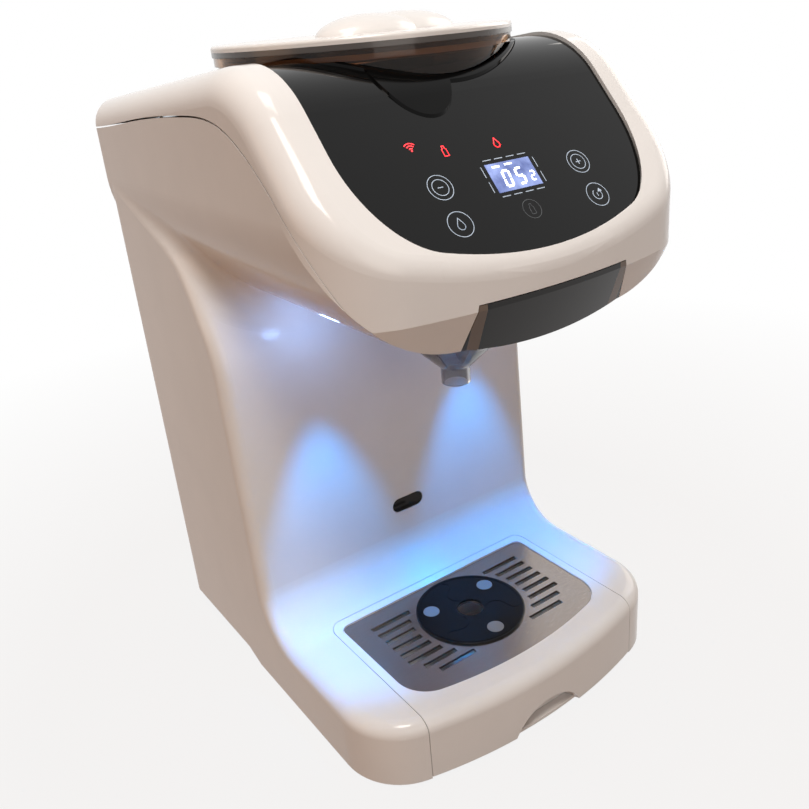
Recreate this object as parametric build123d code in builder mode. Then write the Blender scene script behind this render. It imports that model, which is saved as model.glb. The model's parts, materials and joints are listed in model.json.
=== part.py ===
"""Baby formula maker: C-shaped housing, hood, powder canister, mixing funnel, drip tray and water tank.

Millimetres. X points right, Y to the rear, Z up. The origin is on the ground, under the middle of the
machine's box. The nozzle, the funnel and the drain puck share one upright axis at pour_y.
"""
from build123d import *
from math import acos, cos, pi, radians, sin, sqrt, tan
import os

os.makedirs("parts", exist_ok=True)

# ---------------------------------------------------------------- overall form
half_width = 108.0
rear_y = 136.5
rear_corner_radius = 8.0
wall = 3.0
seam_gap = 0.8
fit_gap = 0.4
body_gap = 0.3
through = 260.0
sky_z = 450.0
cut_floor_z = 200.0

# base
ground_gap = 2.0
rear_lift = 7.0
lift_start_y = 30.0
lift_end_y = 46.0
base_front_y = -124.5
base_front_radius = 303.0
base_corner_radius = 38.0
base_top_z = 41.0
open_edge_radius = 7.8

# bay: the bottle space between base, column and head
bay_foot_radius = 30.0
column_face_y = 7.0
column_lean = 2.5
column_shoulder_z = 205.0
column_shoulder_radius = 65.0
scoop_rise = 14.0
scoop_blend_radius = 18.0

# head
head_front_y = -136.5
head_front_radius = 330.0
head_corner_radius = 42.0
brow_z = 262.0
chin_z = 232.0
chin_y = -124.5
chin_corner_radius = 50.0
head_bottom_z = 238.5
bilge_half_width = 47.5
bilge_bottom_z = 243.5
bilge_top_z = 304.0
bilge_radius = 61.0
crown_rear_z = 348.1
crown_rise = 5.5
crown_bend_y = -28.8
crown_radius = 55.6
panel_slope = 48.2
shoulder_radius = 15.0

# S-shaped parting line between housing and hood, seen from the side
seam_points = [(150, 332), (60, 340), (0, 343.5), (-42, 340), (-67, 326.5), (-95, 300), (-111, 276),
               (-120, 257), (-122.5, 232)]

# axes that several pieces share
pour_y = -55.0
canister_y = 8.0
chute_y = -50.0

# ---------------------------------------------------------------- shared outlines and solids


def rounded_plan(half, front, bow_radius, corner, rear, rear_corner):
    """Outline seen from above: bowed front, straight sides, rounded corners."""
    corner_y = front + bow_radius - sqrt(bow_radius**2 - half**2)
    with BuildSketch() as outline:
        with BuildLine():
            ThreePointArc((-half, corner_y), (0, front), (half, corner_y))
            Polyline((half, corner_y), (half, rear), (-half, rear), (-half, corner_y))
        make_face()
        fillet(outline.vertices().group_by(Axis.Y)[0], corner)
        if rear_corner > 0:
            fillet(outline.vertices().group_by(Axis.Y)[-1], rear_corner)
    return outline.sketch


def head_section(inset):
    """Front view of the head: slightly bowed bottom, wide lower corners, straight sides."""
    side = half_width - inset
    low = bilge_half_width
    low_z = bilge_bottom_z + inset
    with BuildSketch(Plane.XZ) as outline:
        with BuildLine():
            ThreePointArc((-low, low_z), (0, head_bottom_z + inset), (low, low_z))
            RadiusArc((low, low_z), (side, bilge_top_z), -(bilge_radius - inset))
            Polyline((side, bilge_top_z), (side, sky_z), (-side, sky_z), (-side, bilge_top_z))
            RadiusArc((-side, bilge_top_z), (-low, low_z), -(bilge_radius - inset))
        make_face()
    return outline.sketch


def under_crown(drop, floor_z=cut_floor_z):
    """Side view of everything under the crown line, which is moved inward by drop."""
    along = Vector(-cos(radians(crown_rise)), sin(radians(crown_rise)))
    inward = Vector(-along.Y, along.X)
    rear_point = Vector(rear_y, crown_rear_z) + inward * drop - along * 20
    bend_point = rear_point + along * ((rear_y - crown_bend_y) / cos(radians(crown_rise)) + 20)
    with BuildSketch(Plane.YZ) as outline:
        with BuildLine():
            Line(rear_point, bend_point)
            bend = JernArc(bend_point, along, crown_radius - drop, crown_rise + panel_slope)
            slope = Line(bend @ 1, (bend @ 1) + (bend % 1) * 130)
            front_y = (slope @ 1).X
            Polyline(slope @ 1, (front_y, floor_z), (rear_point.X, floor_z), rear_point)
        make_face()
    return outline.sketch


def above_seam(lift):
    """Side view of everything above the S-shaped parting line, which is raised by lift."""
    points = [(y, z + lift) for y, z in seam_points]
    high_y, low_y = points[0][0], points[-1][0]
    low_z = chin_z - 2 * wall
    with BuildSketch(Plane.YZ) as outline:
        with BuildLine():
            Spline(*points)
            Polyline(points[-1], (low_y, low_z), (-through, low_z), (-through, sky_z), (high_y, sky_z),
                     points[0])
        make_face()
    return outline.sketch


def is_rim(edge):
    """Top rim of the head: inclined straight edges and curved edges, above the brow."""
    way = edge.tangent_at(0.5)
    if edge.bounding_box().min.Z < brow_z + 5:
        return False
    if edge.geom_type == GeomType.LINE:
        return abs(way.X) < 0.01 and abs(way.Y) > 0.02 and abs(way.Z) > 0.02
    return True


def head_form(inset):
    """The head as a solid, with all its outer faces moved inward by inset."""
    side = half_width - inset
    back = rear_y - inset
    brow = rounded_plan(side, head_front_y + inset, head_front_radius, head_corner_radius - inset, back, 0)
    chin = rounded_plan(side, chin_y + inset, head_front_radius, chin_corner_radius - inset, back, 0)
    with BuildPart() as form:
        with BuildSketch(Plane.XY.offset(chin_z)):
            add(chin)
        with BuildSketch(Plane.XY.offset(brow_z)):
            add(brow)
        loft(ruled=True)
        with BuildSketch(Plane.XY.offset(brow_z)):
            add(brow)
        extrude(amount=sky_z - brow_z)
        extrude(under_crown(inset), amount=through, both=True, mode=Mode.INTERSECT)
        extrude(head_section(inset), amount=through, both=True, mode=Mode.INTERSECT)
        fillet(form.edges().filter_by(is_rim), shoulder_radius - inset)
    return form.part


def bay_space(inset):
    """The air of the bottle bay and its side scoops, grown by inset."""
    reach = half_width + 22
    back_y = rear_y + 14
    face_y = column_face_y + inset
    foot_z = base_top_z - inset
    lean = Vector(sin(radians(column_lean)), cos(radians(column_lean)))
    foot_radius = bay_foot_radius + inset
    with BuildPart() as space:
        with BuildSketch(Plane.YZ.offset(-reach)):
            with BuildLine():
                foot = JernArc((face_y - foot_radius, foot_z), (1, 0), foot_radius, 90 - column_lean)
                height = (column_shoulder_z - (foot @ 1).Y) / lean.Y
                face = Line(foot @ 1, (foot @ 1) + lean * height)
                turn = 90 - column_lean - scoop_rise
                shoulder = JernArc(face @ 1, lean, column_shoulder_radius - inset, -turn)
                run = (back_y - (shoulder @ 1).X) / (shoulder % 1).X
                ledge = Line(shoulder @ 1, (shoulder @ 1) + (shoulder % 1) * run)
                Polyline(ledge @ 1, (back_y, sky_z), (-through, sky_z), (-through, foot_z), foot @ 0)
            make_face()
        extrude(amount=2 * reach)
        extrude(head_section(inset), amount=through, both=True, mode=Mode.SUBTRACT)
        curved = space.edges().filter_by(lambda edge: edge.geom_type in (GeomType.BSPLINE, GeomType.ELLIPSE))
        fillet(curved, scoop_blend_radius)
    return space.part


def base_outline(inset):
    """Outline of the base, moved inward."""
    return rounded_plan(half_width - inset, base_front_y + inset, base_front_radius,
                        base_corner_radius - inset, rear_y - inset, rear_corner_radius - min(inset, 4))


def open_edges(form, inset):
    """Edges round the base's top and up both open sides of the bay, as one smooth chain on each side."""
    side, top_z = half_width - inset, base_top_z - inset
    found = []
    for edge in form.edges():
        box = edge.bounding_box()
        level = box.size.Z < 0.01
        on_top = level and abs(box.min.Z - top_z) < 0.01 and box.size.X < 2 * side - 0.01
        on_side = box.size.X < 0.5 and abs(abs(edge.center().X) - side) < 0.2
        rising = not level and box.size.Y > 0.01 and box.min.Z > top_z - 0.01
        if on_top or (on_side and rising and box.max.Y < rear_y - rear_corner_radius + 0.01):
            found.append(edge)
    return found


def housing_form(inset):
    """Base, column and head as one solid, moved inward by inset."""
    outline, bay, head = base_outline(inset), bay_space(inset), head_form(inset)
    with BuildPart() as form:
        with BuildSketch(Plane.XY.offset(ground_gap)):
            add(outline)
        extrude(amount=bilge_top_z - ground_gap)
        cuboid(-half_width, half_width, -through, column_face_y - bay_foot_radius, 0, sky_z, Mode.SUBTRACT)
        add(bay, mode=Mode.SUBTRACT)
        with BuildSketch(Plane.XY.offset(ground_gap)):
            add(outline)
        extrude(amount=base_top_z - inset - ground_gap)
        fillet(open_edges(form, inset), open_edge_radius - inset)
        add(head)
    return form.part


def slope_plane(y, drop):
    """Plane on the head's sloped front at depth y, moved inward by drop; its Z points out of the head."""
    rise, fall = radians(crown_rise), radians(panel_slope)
    bend_z = crown_rear_z + (rear_y - crown_bend_y) * tan(rise)
    centre_y = crown_bend_y - crown_radius * sin(rise)
    centre_z = bend_z - crown_radius * cos(rise)
    start_y = centre_y - crown_radius * sin(fall)
    start_z = centre_z + crown_radius * cos(fall)
    outward = Vector(0, -sin(fall), cos(fall))
    point = Vector(0, y, start_z - (start_y - y) * tan(fall)) - outward * drop
    return Plane(origin=point, x_dir=(1, 0, 0), z_dir=outward)


def wall_plane(z, depth):
    """Plane on the bay's leaning back wall at height z, moved into the wall by depth."""
    lean = radians(column_lean)
    foot_y = column_face_y - bay_foot_radius + bay_foot_radius * cos(lean)
    foot_z = base_top_z + bay_foot_radius - bay_foot_radius * sin(lean)
    outward = Vector(0, -cos(lean), sin(lean))
    point = Vector(0, foot_y + (z - foot_z) * tan(lean), z) - outward * depth
    return Plane(origin=point, x_dir=(1, 0, 0), z_dir=outward)


def post(x, y, low, high, radius, mode=Mode.ADD):
    """Upright cylinder between two heights, in the active part."""
    with Locations((x, y, low)):
        Cylinder(radius, high - low, align=(Align.CENTER, Align.CENTER, Align.MIN), mode=mode)


def cuboid(x_low, x_high, y_low, y_high, z_low, z_high, mode=Mode.ADD):
    """Box between two corners, in the active part."""
    with Locations((x_low, y_low, z_low)):
        Box(x_high - x_low, y_high - y_low, z_high - z_low, align=Align.MIN, mode=mode)


def plate_outline(grow):
    """Outline of the drip plate, grown by a clearance."""
    return rounded_plan(plate_half + grow, plate_front_y - grow, plate_bow_radius, plate_corner_radius,
                        plate_rear_y + grow, plate_rear_corner_radius)


def tray_space(grow):
    """Upright block that bounds the drip tray at its sides and rear, grown by a clearance."""
    with BuildPart() as space:
        cuboid(-tray_half - grow, tray_half + grow, -through, tray_rear_y + grow, 0, base_top_z + 20)
        fillet(space.edges().filter_by(Axis.Z).group_by(Axis.Y)[-1], tray_corner_radius + grow)
    return space.part


def tank_space(grow):
    """Bay of the water tank, open to the top and the rear, grown by a wall."""
    with BuildPart() as space:
        cuboid(-tank_bay_half - grow, tank_bay_half + grow, tank_bay_front_y - grow, through,
               tank_bay_floor_z - grow, sky_z)
    return space.part


def belly(low_drop):
    """Side view of everything below the stepped underside, which is raised by low_drop."""
    with BuildSketch(Plane.YZ) as outline:
        with BuildLine():
            Polyline((-through, ground_gap + low_drop), (lift_start_y, ground_gap + low_drop),
                     (lift_end_y, rear_lift + low_drop), (through, rear_lift + low_drop), (through, -40),
                     (-through, -40), (-through, ground_gap + low_drop))
        make_face()
    return outline.sketch


def panel_outline(grow):
    """Outline of the control panel seen from above, grown by a clearance."""
    return rounded_plan(panel_half + grow, panel_front_y - grow, panel_bow_radius, panel_corner_radius,
                        panel_rear_y + grow, 0)


def cover_outline(grow):
    """Front view of the funnel cover, which widens downwards, grown by a clearance."""
    spread = (cover_bottom_half - cover_top_half) / (cover_top_z - cover_bottom_z)
    low_z = cover_bottom_z - 10
    low_half = cover_bottom_half + 10 * spread + grow
    high_z = cover_top_z + grow
    high_half = cover_top_half - grow * spread + grow
    with BuildSketch(Plane.XZ) as outline:
        with BuildLine():
            Polyline((-low_half, low_z), (low_half, low_z), (high_half, high_z), (-high_half, high_z),
                     (-low_half, low_z))
        make_face()
    return outline.sketch


def gear_outline(teeth, turn):
    """Spur gear outline. Each flank meets the involute at the root, the pitch circle and the tip."""
    pitch_radius = gear_module * teeth / 2
    base_radius = pitch_radius * cos(radians(pressure_angle))
    tip_radius = pitch_radius + gear_module
    root_radius = pitch_radius - 1.25 * gear_module
    pitch_involute = tan(radians(pressure_angle)) - radians(pressure_angle)
    points = []
    for tooth in range(teeth):
        middle = turn + 2 * pi * tooth / teeth
        flank = []
        for radius in (root_radius, pitch_radius, tip_radius):
            roll = acos(min(base_radius / radius, 1))
            half = tooth_share * pi / (2 * teeth) + pitch_involute - (tan(roll) - roll)
            flank.append((radius, half))
        sides = [(radius, middle - half) for radius, half in flank]
        sides += [(radius, middle + half) for radius, half in reversed(flank)]
        points += [(radius * cos(angle), radius * sin(angle)) for radius, angle in sides]
    with BuildSketch() as outline:
        with BuildLine():
            Polyline(*points, points[0])
        make_face()
    return outline.sketch


def save(piece, name):
    """Label a finished piece and write it to its own file."""
    piece.part.label = name
    export_step(piece.part, f"parts/{name}.step")


outer_form = housing_form(0)
inner_form = housing_form(wall)
outer_head = head_form(0)
inner_head = head_form(wall)

# ---------------------------------------------------------------- sizes of the pieces inside

# tank bay and tank
tank_bay_side = 23.0
tank_side_gap = 1.5
tank_bay_front_y = 89.0
tank_bay_floor_z = 33.0
tank_wall = 2.2
tank_lid_thickness = 2.5
tank_corner_radius = 6.0
hinge_pin_radius = 1.5
hinge_barrel_radius = 3.2
barrel_inset = 5.5
pin_depth = 1.2
spigot_x = -45.0
spigot_y = 112.0
spigot_radius = 9.0
spigot_drop = 9.0
valve_seat_radius = 5.0
valve_stem_radius = 2.0
valve_thickness = 2.0
socket_low_z = 18.0
socket_wall = 2.5

# water, power and control parts inside
hose_z = 25.0
hose_radius = 4.0
hose_bend_radius = 6.0
hose_turn_x = -20.0
hose_turn_y = 18.0
pump_x = -45.0
pump_y = 64.0
pump_radius = 15.0
pump_top_z = 62.0
heater_x = -45.0
heater_y = 50.0
heater_radius = 28.0
heater_low_z = 100.0
heater_top_z = 200.0
standoff_radius = 2.5
standoff_height = 4.0
supply_x = 15.0
supply_y = 46.0
supply_length = 66.0
supply_width = 34.0
control_x = 12.0
control_length = 72.0
control_z = 90.0
control_height = 130.0

# drip tray
tray_half = 77.0
tray_rear_y = -13.4
tray_floor = 3.0
plate_half = 71.5
plate_rear_y = -18.5
plate_front_y = -105.5
plate_bow_radius = 240.0
plate_corner_radius = 21.0
plate_thickness = 1.5
plate_ledge = 4.0
slot_width = 2.7
slot_pitch = 7.7
slot_first_y = -32.0
slot_inner_radius = 37.8
slot_outer_x = 57.8
puck_radius = 33.6
puck_height = 4.0
puck_hole_radius = 8.1
pad_radius = 5.0
pad_circle_radius = 24.2
plate_rear_corner_radius = 5.0
plate_recess = 0.6
slot_count = 8
slot_taper = 5.4
slot_taper_from = 5
puck_edge_radius = 1.2
pad_angle = 29.0
pad_sink = 1.0
pad_rise = 0.4
ridge_width = 1.2
ridge_height = 0.6
ridge_angle = -31.0
tray_corner_radius = 7.0
tray_skirt_z = 3.0
notch_half = 25.0
notch_height = 15.5
notch_depth = 9.0
notch_taper = 22.0

# sensor window, lamps, power inlet
window_x = 2.0
window_z = 89.0
window_length = 23.0
window_height = 9.0
window_recess = 0.3
window_thickness = 4.0
lamp_inset = 52.0
lamp_y = -20.0
lamp_radius = 5.0
lamp_top_z = 249.0
lamp_low_z = 243.8
lamp_edge_radius = 1.5
inlet_inset = 38.0
inlet_z = 20.0
inlet_length = 24.0
inlet_height = 15.0
inlet_depth = 18.0
inlet_pin_spread = 4.3
inlet_pin_radius = 1.2

# underside, feet, screws
bottom_thickness = 2.0
foot_radius = 9.0
front_foot_inset = 20.0
front_foot_y = -85.0
rear_foot_inset = 18.0
rear_foot_y = 118.0
front_screw_inset = 16.0
front_screw_y = -55.0
rear_screw_inset = 16.5
rear_screw_y = 100.0
boss_radius = 4.5
boss_top_z = 60.0
foot_chamfer = 0.6
screw_radius = 1.5
screw_head_radius = 3.0
screw_length = 12.0
screw_clearance = 0.1

# control panel
panel_inset = 24.0
panel_front_y = -132.6
panel_bow_radius = 250.0
panel_corner_radius = 37.0
panel_drop = 1.6
panel_thickness = 3.0
panel_rear_y = 88.6
ledge_width = 4.0
ledge_thickness = 2.5
display_y = -106.2
display_length = 32.0
display_height = 20.0
display_thickness = 5.0
board_length = 110.0
board_height = 46.0
board_thickness = 1.6
collar_drop = 0.5
collar_depth = 8.0
collar_tab_x = -23.0
collar_tab_y = -62.5

# canister
canister_bottom_z = 303.0
canister_cup_height = 13.0
canister_height = 63.0
canister_top_radius = 75.2
canister_joint_radius = 73.4
canister_wall = 2.0
base_cup_radius = 72.0
flange_radius = 77.0
flange_height = 4.0
lid_radius = 77.6
lid_thickness = 5.3
collar_inner_radius = 76.2
collar_outer_radius = 78.8
collar_tab_radius = 20.0
wheel_radius = 69.4
wheel_thickness = 5.6
outlet_radius = 8.5
pocket_count = 8
pocket_radius = 8.0
base_floor = 3.0
scraper_inner_radius = 46.0
scraper_half = 15.0
scraper_thickness = 1.6
arm_rise = 4.5
arm_height = 3.0
arm_half = 3.0
arm_reach = 64.0
finger_height = 18.0
seal_width = 1.6
seal_height = 2.5
plug_depth = 6.0
lid_edge_radius = 1.5
grip_height = 10.5
grip_domes = [(-5.0, -6.0, 33.0, 22.0, 20.0), (24.0, 6.0, 40.0, 22.0, 20.0)]

# powder drive
drive_height = 15.0
shelf_thickness = 3.0
gear_module = 1.5
gear_teeth = 36
pinion_teeth = 12
gear_width = 6.0
shaft_radius = 4.0
pinion_shaft_radius = 2.5
running_gap = 0.05
pressure_angle = 20.0
tooth_share = 0.88
shaft_flat = 3.0
hub_radius = 6.5
thrust_radius = 7.0
thrust_height = 1.7
shaft_overhang = 4.0
shelf_inset = 10.0
shelf_front_y = -74.0
shelf_post_x = 40.0
shelf_post_front_y = -62.0
shelf_post_rear_y = -14.0
shelf_post_radius = 5.0
gear_cover_radius = 71.0
gear_cover_wall = 2.0
motor_radius = 14.0
motor_length = 34.0
chute_radius = 11.0
chute_wall = 1.6
chute_overhang = 2.0
spout_y = -28.0
spout_radius = 4.0

# funnel and its drawer
guide_half = 46.5
guide_wall = 3.0
guide_floor_z = 247.0
guide_roof_z = 265.0
guide_front_y = -121.0
guide_rear_y = -6.0
slot_half = 43.0
carrier_z = 251.0
carrier_thickness = 3.0
funnel_rim_z = 262.0
funnel_radius = 38.0
funnel_flange_radius = 42.0
funnel_wall = 1.6
funnel_cone_top_z = 246.0
funnel_cone_bottom_z = 203.0
funnel_tip_z = 193.8
nozzle_radius = 9.8
cover_back_y = -123.3
cover_bottom_half = 51.0
cover_top_half = 44.5
cover_bottom_z = 236.0
cover_top_z = 264.5

# ---------------------------------------------------------------- places that follow from the sizes

tank_bay_half = half_width - tank_bay_side
tank_half = tank_bay_half - tank_side_gap
barrel_half = tank_half - barrel_inset
lamp_x = half_width - lamp_inset
inlet_x = half_width - inlet_inset
panel_half = half_width - panel_inset
shelf_half = half_width - shelf_inset
feet_places = [(side * (half_width - inset), y, height) for side in (-1, 1)
               for inset, y, height in ((front_foot_inset, front_foot_y, ground_gap),
                                        (rear_foot_inset, rear_foot_y, rear_lift))]
screw_places = [(side * (half_width - inset), y, low) for side in (-1, 1)
                for inset, y, low in ((front_screw_inset, front_screw_y, ground_gap),
                                      (rear_screw_inset, rear_screw_y, rear_lift))]
canister_joint_z = canister_bottom_z + canister_cup_height
canister_top_z = canister_bottom_z + canister_height
lid_low_z = canister_top_z + body_gap
lid_top_z = lid_low_z + lid_thickness
wheel_low_z = canister_bottom_z + base_floor + fit_gap
wheel_top_z = wheel_low_z + wheel_thickness
arm_z = wheel_top_z + arm_rise
shelf_z = canister_bottom_z - drive_height
guide_top_z = guide_roof_z + guide_wall
spout_z = (guide_top_z + shelf_z) / 2

# ---------------------------------------------------------------- housing, hood and underside

front_plate_z = ground_gap + bottom_thickness
rear_plate_z = rear_lift + bottom_thickness

with BuildPart() as plate_seat:
    extrude(base_outline(wall), amount=base_top_z)
    extrude(belly(bottom_thickness), amount=through, both=True, mode=Mode.INTERSECT)

with BuildPart() as housing_hollow:
    add(inner_form)
    add(tray_space(fit_gap + wall), mode=Mode.SUBTRACT)
    add(tank_space(wall), mode=Mode.SUBTRACT)
    for x, y, low in screw_places:
        post(x, y, 0, boss_top_z, boss_radius, Mode.SUBTRACT)

with BuildPart() as main_housing:
    add(outer_form)
    add(housing_hollow.part, mode=Mode.SUBTRACT)
    extrude(above_seam(0), amount=through, both=True, mode=Mode.SUBTRACT)
    extrude(belly(0), amount=through, both=True, mode=Mode.SUBTRACT)
    add(plate_seat.part, mode=Mode.SUBTRACT)
    add(tray_space(fit_gap), mode=Mode.SUBTRACT)
    add(tank_space(0), mode=Mode.SUBTRACT)
    # slot that the funnel hangs through, open to the front
    post(0, pour_y, chin_z, guide_floor_z, slot_half, Mode.SUBTRACT)
    cuboid(-slot_half, slot_half, -through, pour_y, chin_z, guide_floor_z, Mode.SUBTRACT)
    # holes: tank spigot, lamps, sensor window, power inlet, screws
    post(spigot_x, spigot_y, 0, tank_bay_floor_z + 1, spigot_radius + fit_gap, Mode.SUBTRACT)
    for x in (-lamp_x, lamp_x):
        post(x, lamp_y, chin_z, lamp_top_z + wall, lamp_radius + fit_gap, Mode.SUBTRACT)
    with BuildSketch(wall_plane(window_z, -wall)):
        with Locations((window_x, 0)):
            SlotOverall(window_length + 2 * fit_gap, window_height + 2 * fit_gap)
    extrude(amount=-3 * wall, mode=Mode.SUBTRACT)
    inlet_half, inlet_rise = inlet_length / 2 + fit_gap, inlet_height / 2 + fit_gap
    cuboid(inlet_x - inlet_half, inlet_x + inlet_half, rear_y - 2 * wall, rear_y + wall,
           inlet_z - inlet_rise, inlet_z + inlet_rise, Mode.SUBTRACT)
    for x, y, low in screw_places:
        post(x, y, 0, low + screw_length + 1, screw_radius + screw_clearance, Mode.SUBTRACT)
save(main_housing, "main_housing")

with BuildPart() as panel_void:
    extrude(panel_outline(fit_gap), amount=sky_z)
    extrude(under_crown(panel_drop + panel_thickness), amount=through, both=True, mode=Mode.SUBTRACT)

with BuildPart() as panel_ledge:
    extrude(panel_outline(ledge_width), amount=sky_z)
    extrude(panel_outline(-ledge_width), amount=sky_z, mode=Mode.SUBTRACT)
    extrude(under_crown(wall / 2), amount=through, both=True, mode=Mode.INTERSECT)
    extrude(under_crown(panel_drop + panel_thickness + ledge_thickness), amount=through, both=True,
            mode=Mode.SUBTRACT)
    add(outer_head, mode=Mode.INTERSECT)

with BuildPart() as hood_hollow:
    add(inner_head)
    add(tank_space(wall), mode=Mode.SUBTRACT)

with BuildPart() as hood:
    add(outer_head)
    add(hood_hollow.part, mode=Mode.SUBTRACT)
    add(panel_ledge.part)
    extrude(above_seam(seam_gap), amount=through, both=True, mode=Mode.INTERSECT)
    add(panel_void.part, mode=Mode.SUBTRACT)
    add(tank_space(0), mode=Mode.SUBTRACT)
    extrude(cover_outline(fit_gap), amount=through, mode=Mode.SUBTRACT)
    post(0, canister_y, cut_floor_z, sky_z, collar_outer_radius + fit_gap, Mode.SUBTRACT)
save(hood, "hood")

with BuildPart() as bottom_plate:
    extrude(base_outline(wall + body_gap), amount=base_top_z)
    extrude(belly(bottom_thickness), amount=through, both=True, mode=Mode.INTERSECT)
    extrude(belly(0), amount=through, both=True, mode=Mode.SUBTRACT)
    for x, y, low in screw_places:
        with Locations((x, y, low)):
            Cone(screw_head_radius + screw_clearance, screw_radius + screw_clearance, bottom_thickness,
                 align=(Align.CENTER, Align.CENTER, Align.MIN), mode=Mode.SUBTRACT)
save(bottom_plate, "bottom_plate")

with BuildPart() as base_screws:
    for x, y, low in screw_places:
        with Locations((x, y, low)):
            Cone(screw_head_radius, screw_radius, bottom_thickness,
                 align=(Align.CENTER, Align.CENTER, Align.MIN))
        post(x, y, low, low + screw_length, screw_radius)
save(base_screws, "base_screws")

with BuildPart() as feet:
    for x, y, height in feet_places:
        post(x, y, 0, height, foot_radius)
    chamfer(feet.edges().group_by(Axis.Z)[0], foot_chamfer)
save(feet, "feet")

# ---------------------------------------------------------------- panel, collar, lamps and sensor

with BuildPart() as control_panel:
    extrude(panel_outline(0), amount=sky_z)
    extrude(under_crown(panel_drop), amount=through, both=True, mode=Mode.INTERSECT)
    extrude(under_crown(panel_drop + panel_thickness), amount=through, both=True, mode=Mode.SUBTRACT)
    post(0, canister_y, cut_floor_z, sky_z, collar_outer_radius + fit_gap, Mode.SUBTRACT)
save(control_panel, "control_panel")

with BuildPart() as display_module:
    with BuildSketch(slope_plane(display_y, panel_drop + panel_thickness)):
        Rectangle(display_length, display_height)
    extrude(amount=-display_thickness)
save(display_module, "display_module")

with BuildPart() as touch_board:
    with BuildSketch(slope_plane(display_y, panel_drop + panel_thickness + display_thickness)):
        Rectangle(board_length, board_height)
    extrude(amount=-board_thickness)
save(touch_board, "touch_board")

with BuildPart() as collar_tab:
    post(collar_tab_x, collar_tab_y, cut_floor_z, sky_z, collar_tab_radius)
    extrude(under_crown(panel_drop), amount=through, both=True, mode=Mode.SUBTRACT)

with BuildPart() as canister_collar:
    post(0, canister_y, cut_floor_z, sky_z, collar_outer_radius)
    extrude(under_crown(collar_depth), amount=through, both=True, mode=Mode.SUBTRACT)
    add(collar_tab.part)
    extrude(under_crown(collar_drop), amount=through, both=True, mode=Mode.INTERSECT)
    post(0, canister_y, cut_floor_z, sky_z, collar_inner_radius, Mode.SUBTRACT)
    post(0, canister_y, canister_top_z - flange_height - body_gap, sky_z, collar_outer_radius + 1,
         Mode.SUBTRACT)
save(canister_collar, "canister_collar")

with BuildPart() as sensor_window:
    with BuildSketch(wall_plane(window_z, window_recess)):
        with Locations((window_x, 0)):
            SlotOverall(window_length, window_height)
    extrude(amount=-window_thickness)
save(sensor_window, "sensor_window")

with BuildPart() as sensor_board:
    with BuildSketch(wall_plane(window_z, window_recess + window_thickness)):
        with Locations((window_x, 0)):
            Rectangle(window_length + 10, window_height + 7)
    extrude(amount=-board_thickness)
save(sensor_board, "sensor_board")

with BuildPart() as lamp_lenses:
    for x in (-lamp_x, lamp_x):
        post(x, lamp_y, lamp_low_z, lamp_top_z, lamp_radius)
    fillet(lamp_lenses.edges().group_by(Axis.Z)[0], lamp_edge_radius)
save(lamp_lenses, "lamp_lenses")

with BuildPart() as lamp_boards:
    for x in (-lamp_x, lamp_x):
        cuboid(x - lamp_radius - 1, x + lamp_radius + 1, lamp_y - 2 * lamp_radius, lamp_y + 2 * lamp_radius,
               lamp_top_z, lamp_top_z + board_thickness)
save(lamp_boards, "lamp_boards")

# ---------------------------------------------------------------- drip tray

plate_low_z = base_top_z - plate_recess - plate_thickness

with BuildPart() as drip_tray:
    add(tray_space(0))
    add(outer_form, mode=Mode.INTERSECT)
    # the skirt hangs in front of the bottom plate, the rest runs on top of it
    extrude(base_outline(wall), amount=front_plate_z + body_gap, mode=Mode.SUBTRACT)
    cuboid(-half_width, half_width, -through, 0, 0, tray_skirt_z, Mode.SUBTRACT)
    with BuildSketch(Plane.XY.offset(front_plate_z + body_gap + tray_floor)):
        add(plate_outline(-plate_ledge))
    extrude(amount=base_top_z, mode=Mode.SUBTRACT)
    with BuildSketch(Plane.XY.offset(plate_low_z - body_gap)):
        add(plate_outline(fit_gap))
    extrude(amount=base_top_z, mode=Mode.SUBTRACT)
    # finger notch, a half-moon in the lower edge, dished so that its back meets the lip below
    with BuildSketch(Plane.XZ.offset(-base_front_y)):
        with BuildLine():
            arch = ThreePointArc((-notch_half, tray_skirt_z), (0, tray_skirt_z + notch_height),
                                 (notch_half, tray_skirt_z))
            Polyline(arch @ 1, (notch_half, 0), (-notch_half, 0), arch @ 0)
        make_face()
    extrude(amount=-notch_depth, taper=notch_taper, mode=Mode.SUBTRACT)
save(drip_tray, "drip_tray")

with BuildPart() as drip_plate:
    with BuildSketch(Plane.XY.offset(plate_low_z)):
        add(plate_outline(0))
        for index in range(slot_count):
            y = slot_first_y - index * slot_pitch
            inner_x = sqrt(slot_inner_radius**2 - (y - pour_y) ** 2)
            outer_x = slot_outer_x - slot_taper * max(0, index - slot_taper_from)
            with Locations(((inner_x + outer_x) / 2, y), (-(inner_x + outer_x) / 2, y)):
                Rectangle(outer_x - inner_x, slot_width, mode=Mode.SUBTRACT)
        with Locations((0, pour_y)):
            Circle(puck_hole_radius, mode=Mode.SUBTRACT)
    extrude(amount=plate_thickness)
save(drip_plate, "drip_plate")

puck_low_z = plate_low_z + plate_thickness
puck_top_z = puck_low_z + puck_height
pad_places = [(pad_circle_radius * cos(radians(angle)), pour_y + pad_circle_radius * sin(radians(angle)))
              for angle in (pad_angle, pad_angle + 120, pad_angle + 240)]

with BuildSketch(mode=Mode.PRIVATE) as ridge_outline:
    with BuildLine():
        Spline((puck_hole_radius + ridge_width, 0), (14.5, 4.2), (20.5, 2.6), (26.0, -3.4),
               (puck_radius - 2 * ridge_width, -1.0))
    trace(line_width=ridge_width)

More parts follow.
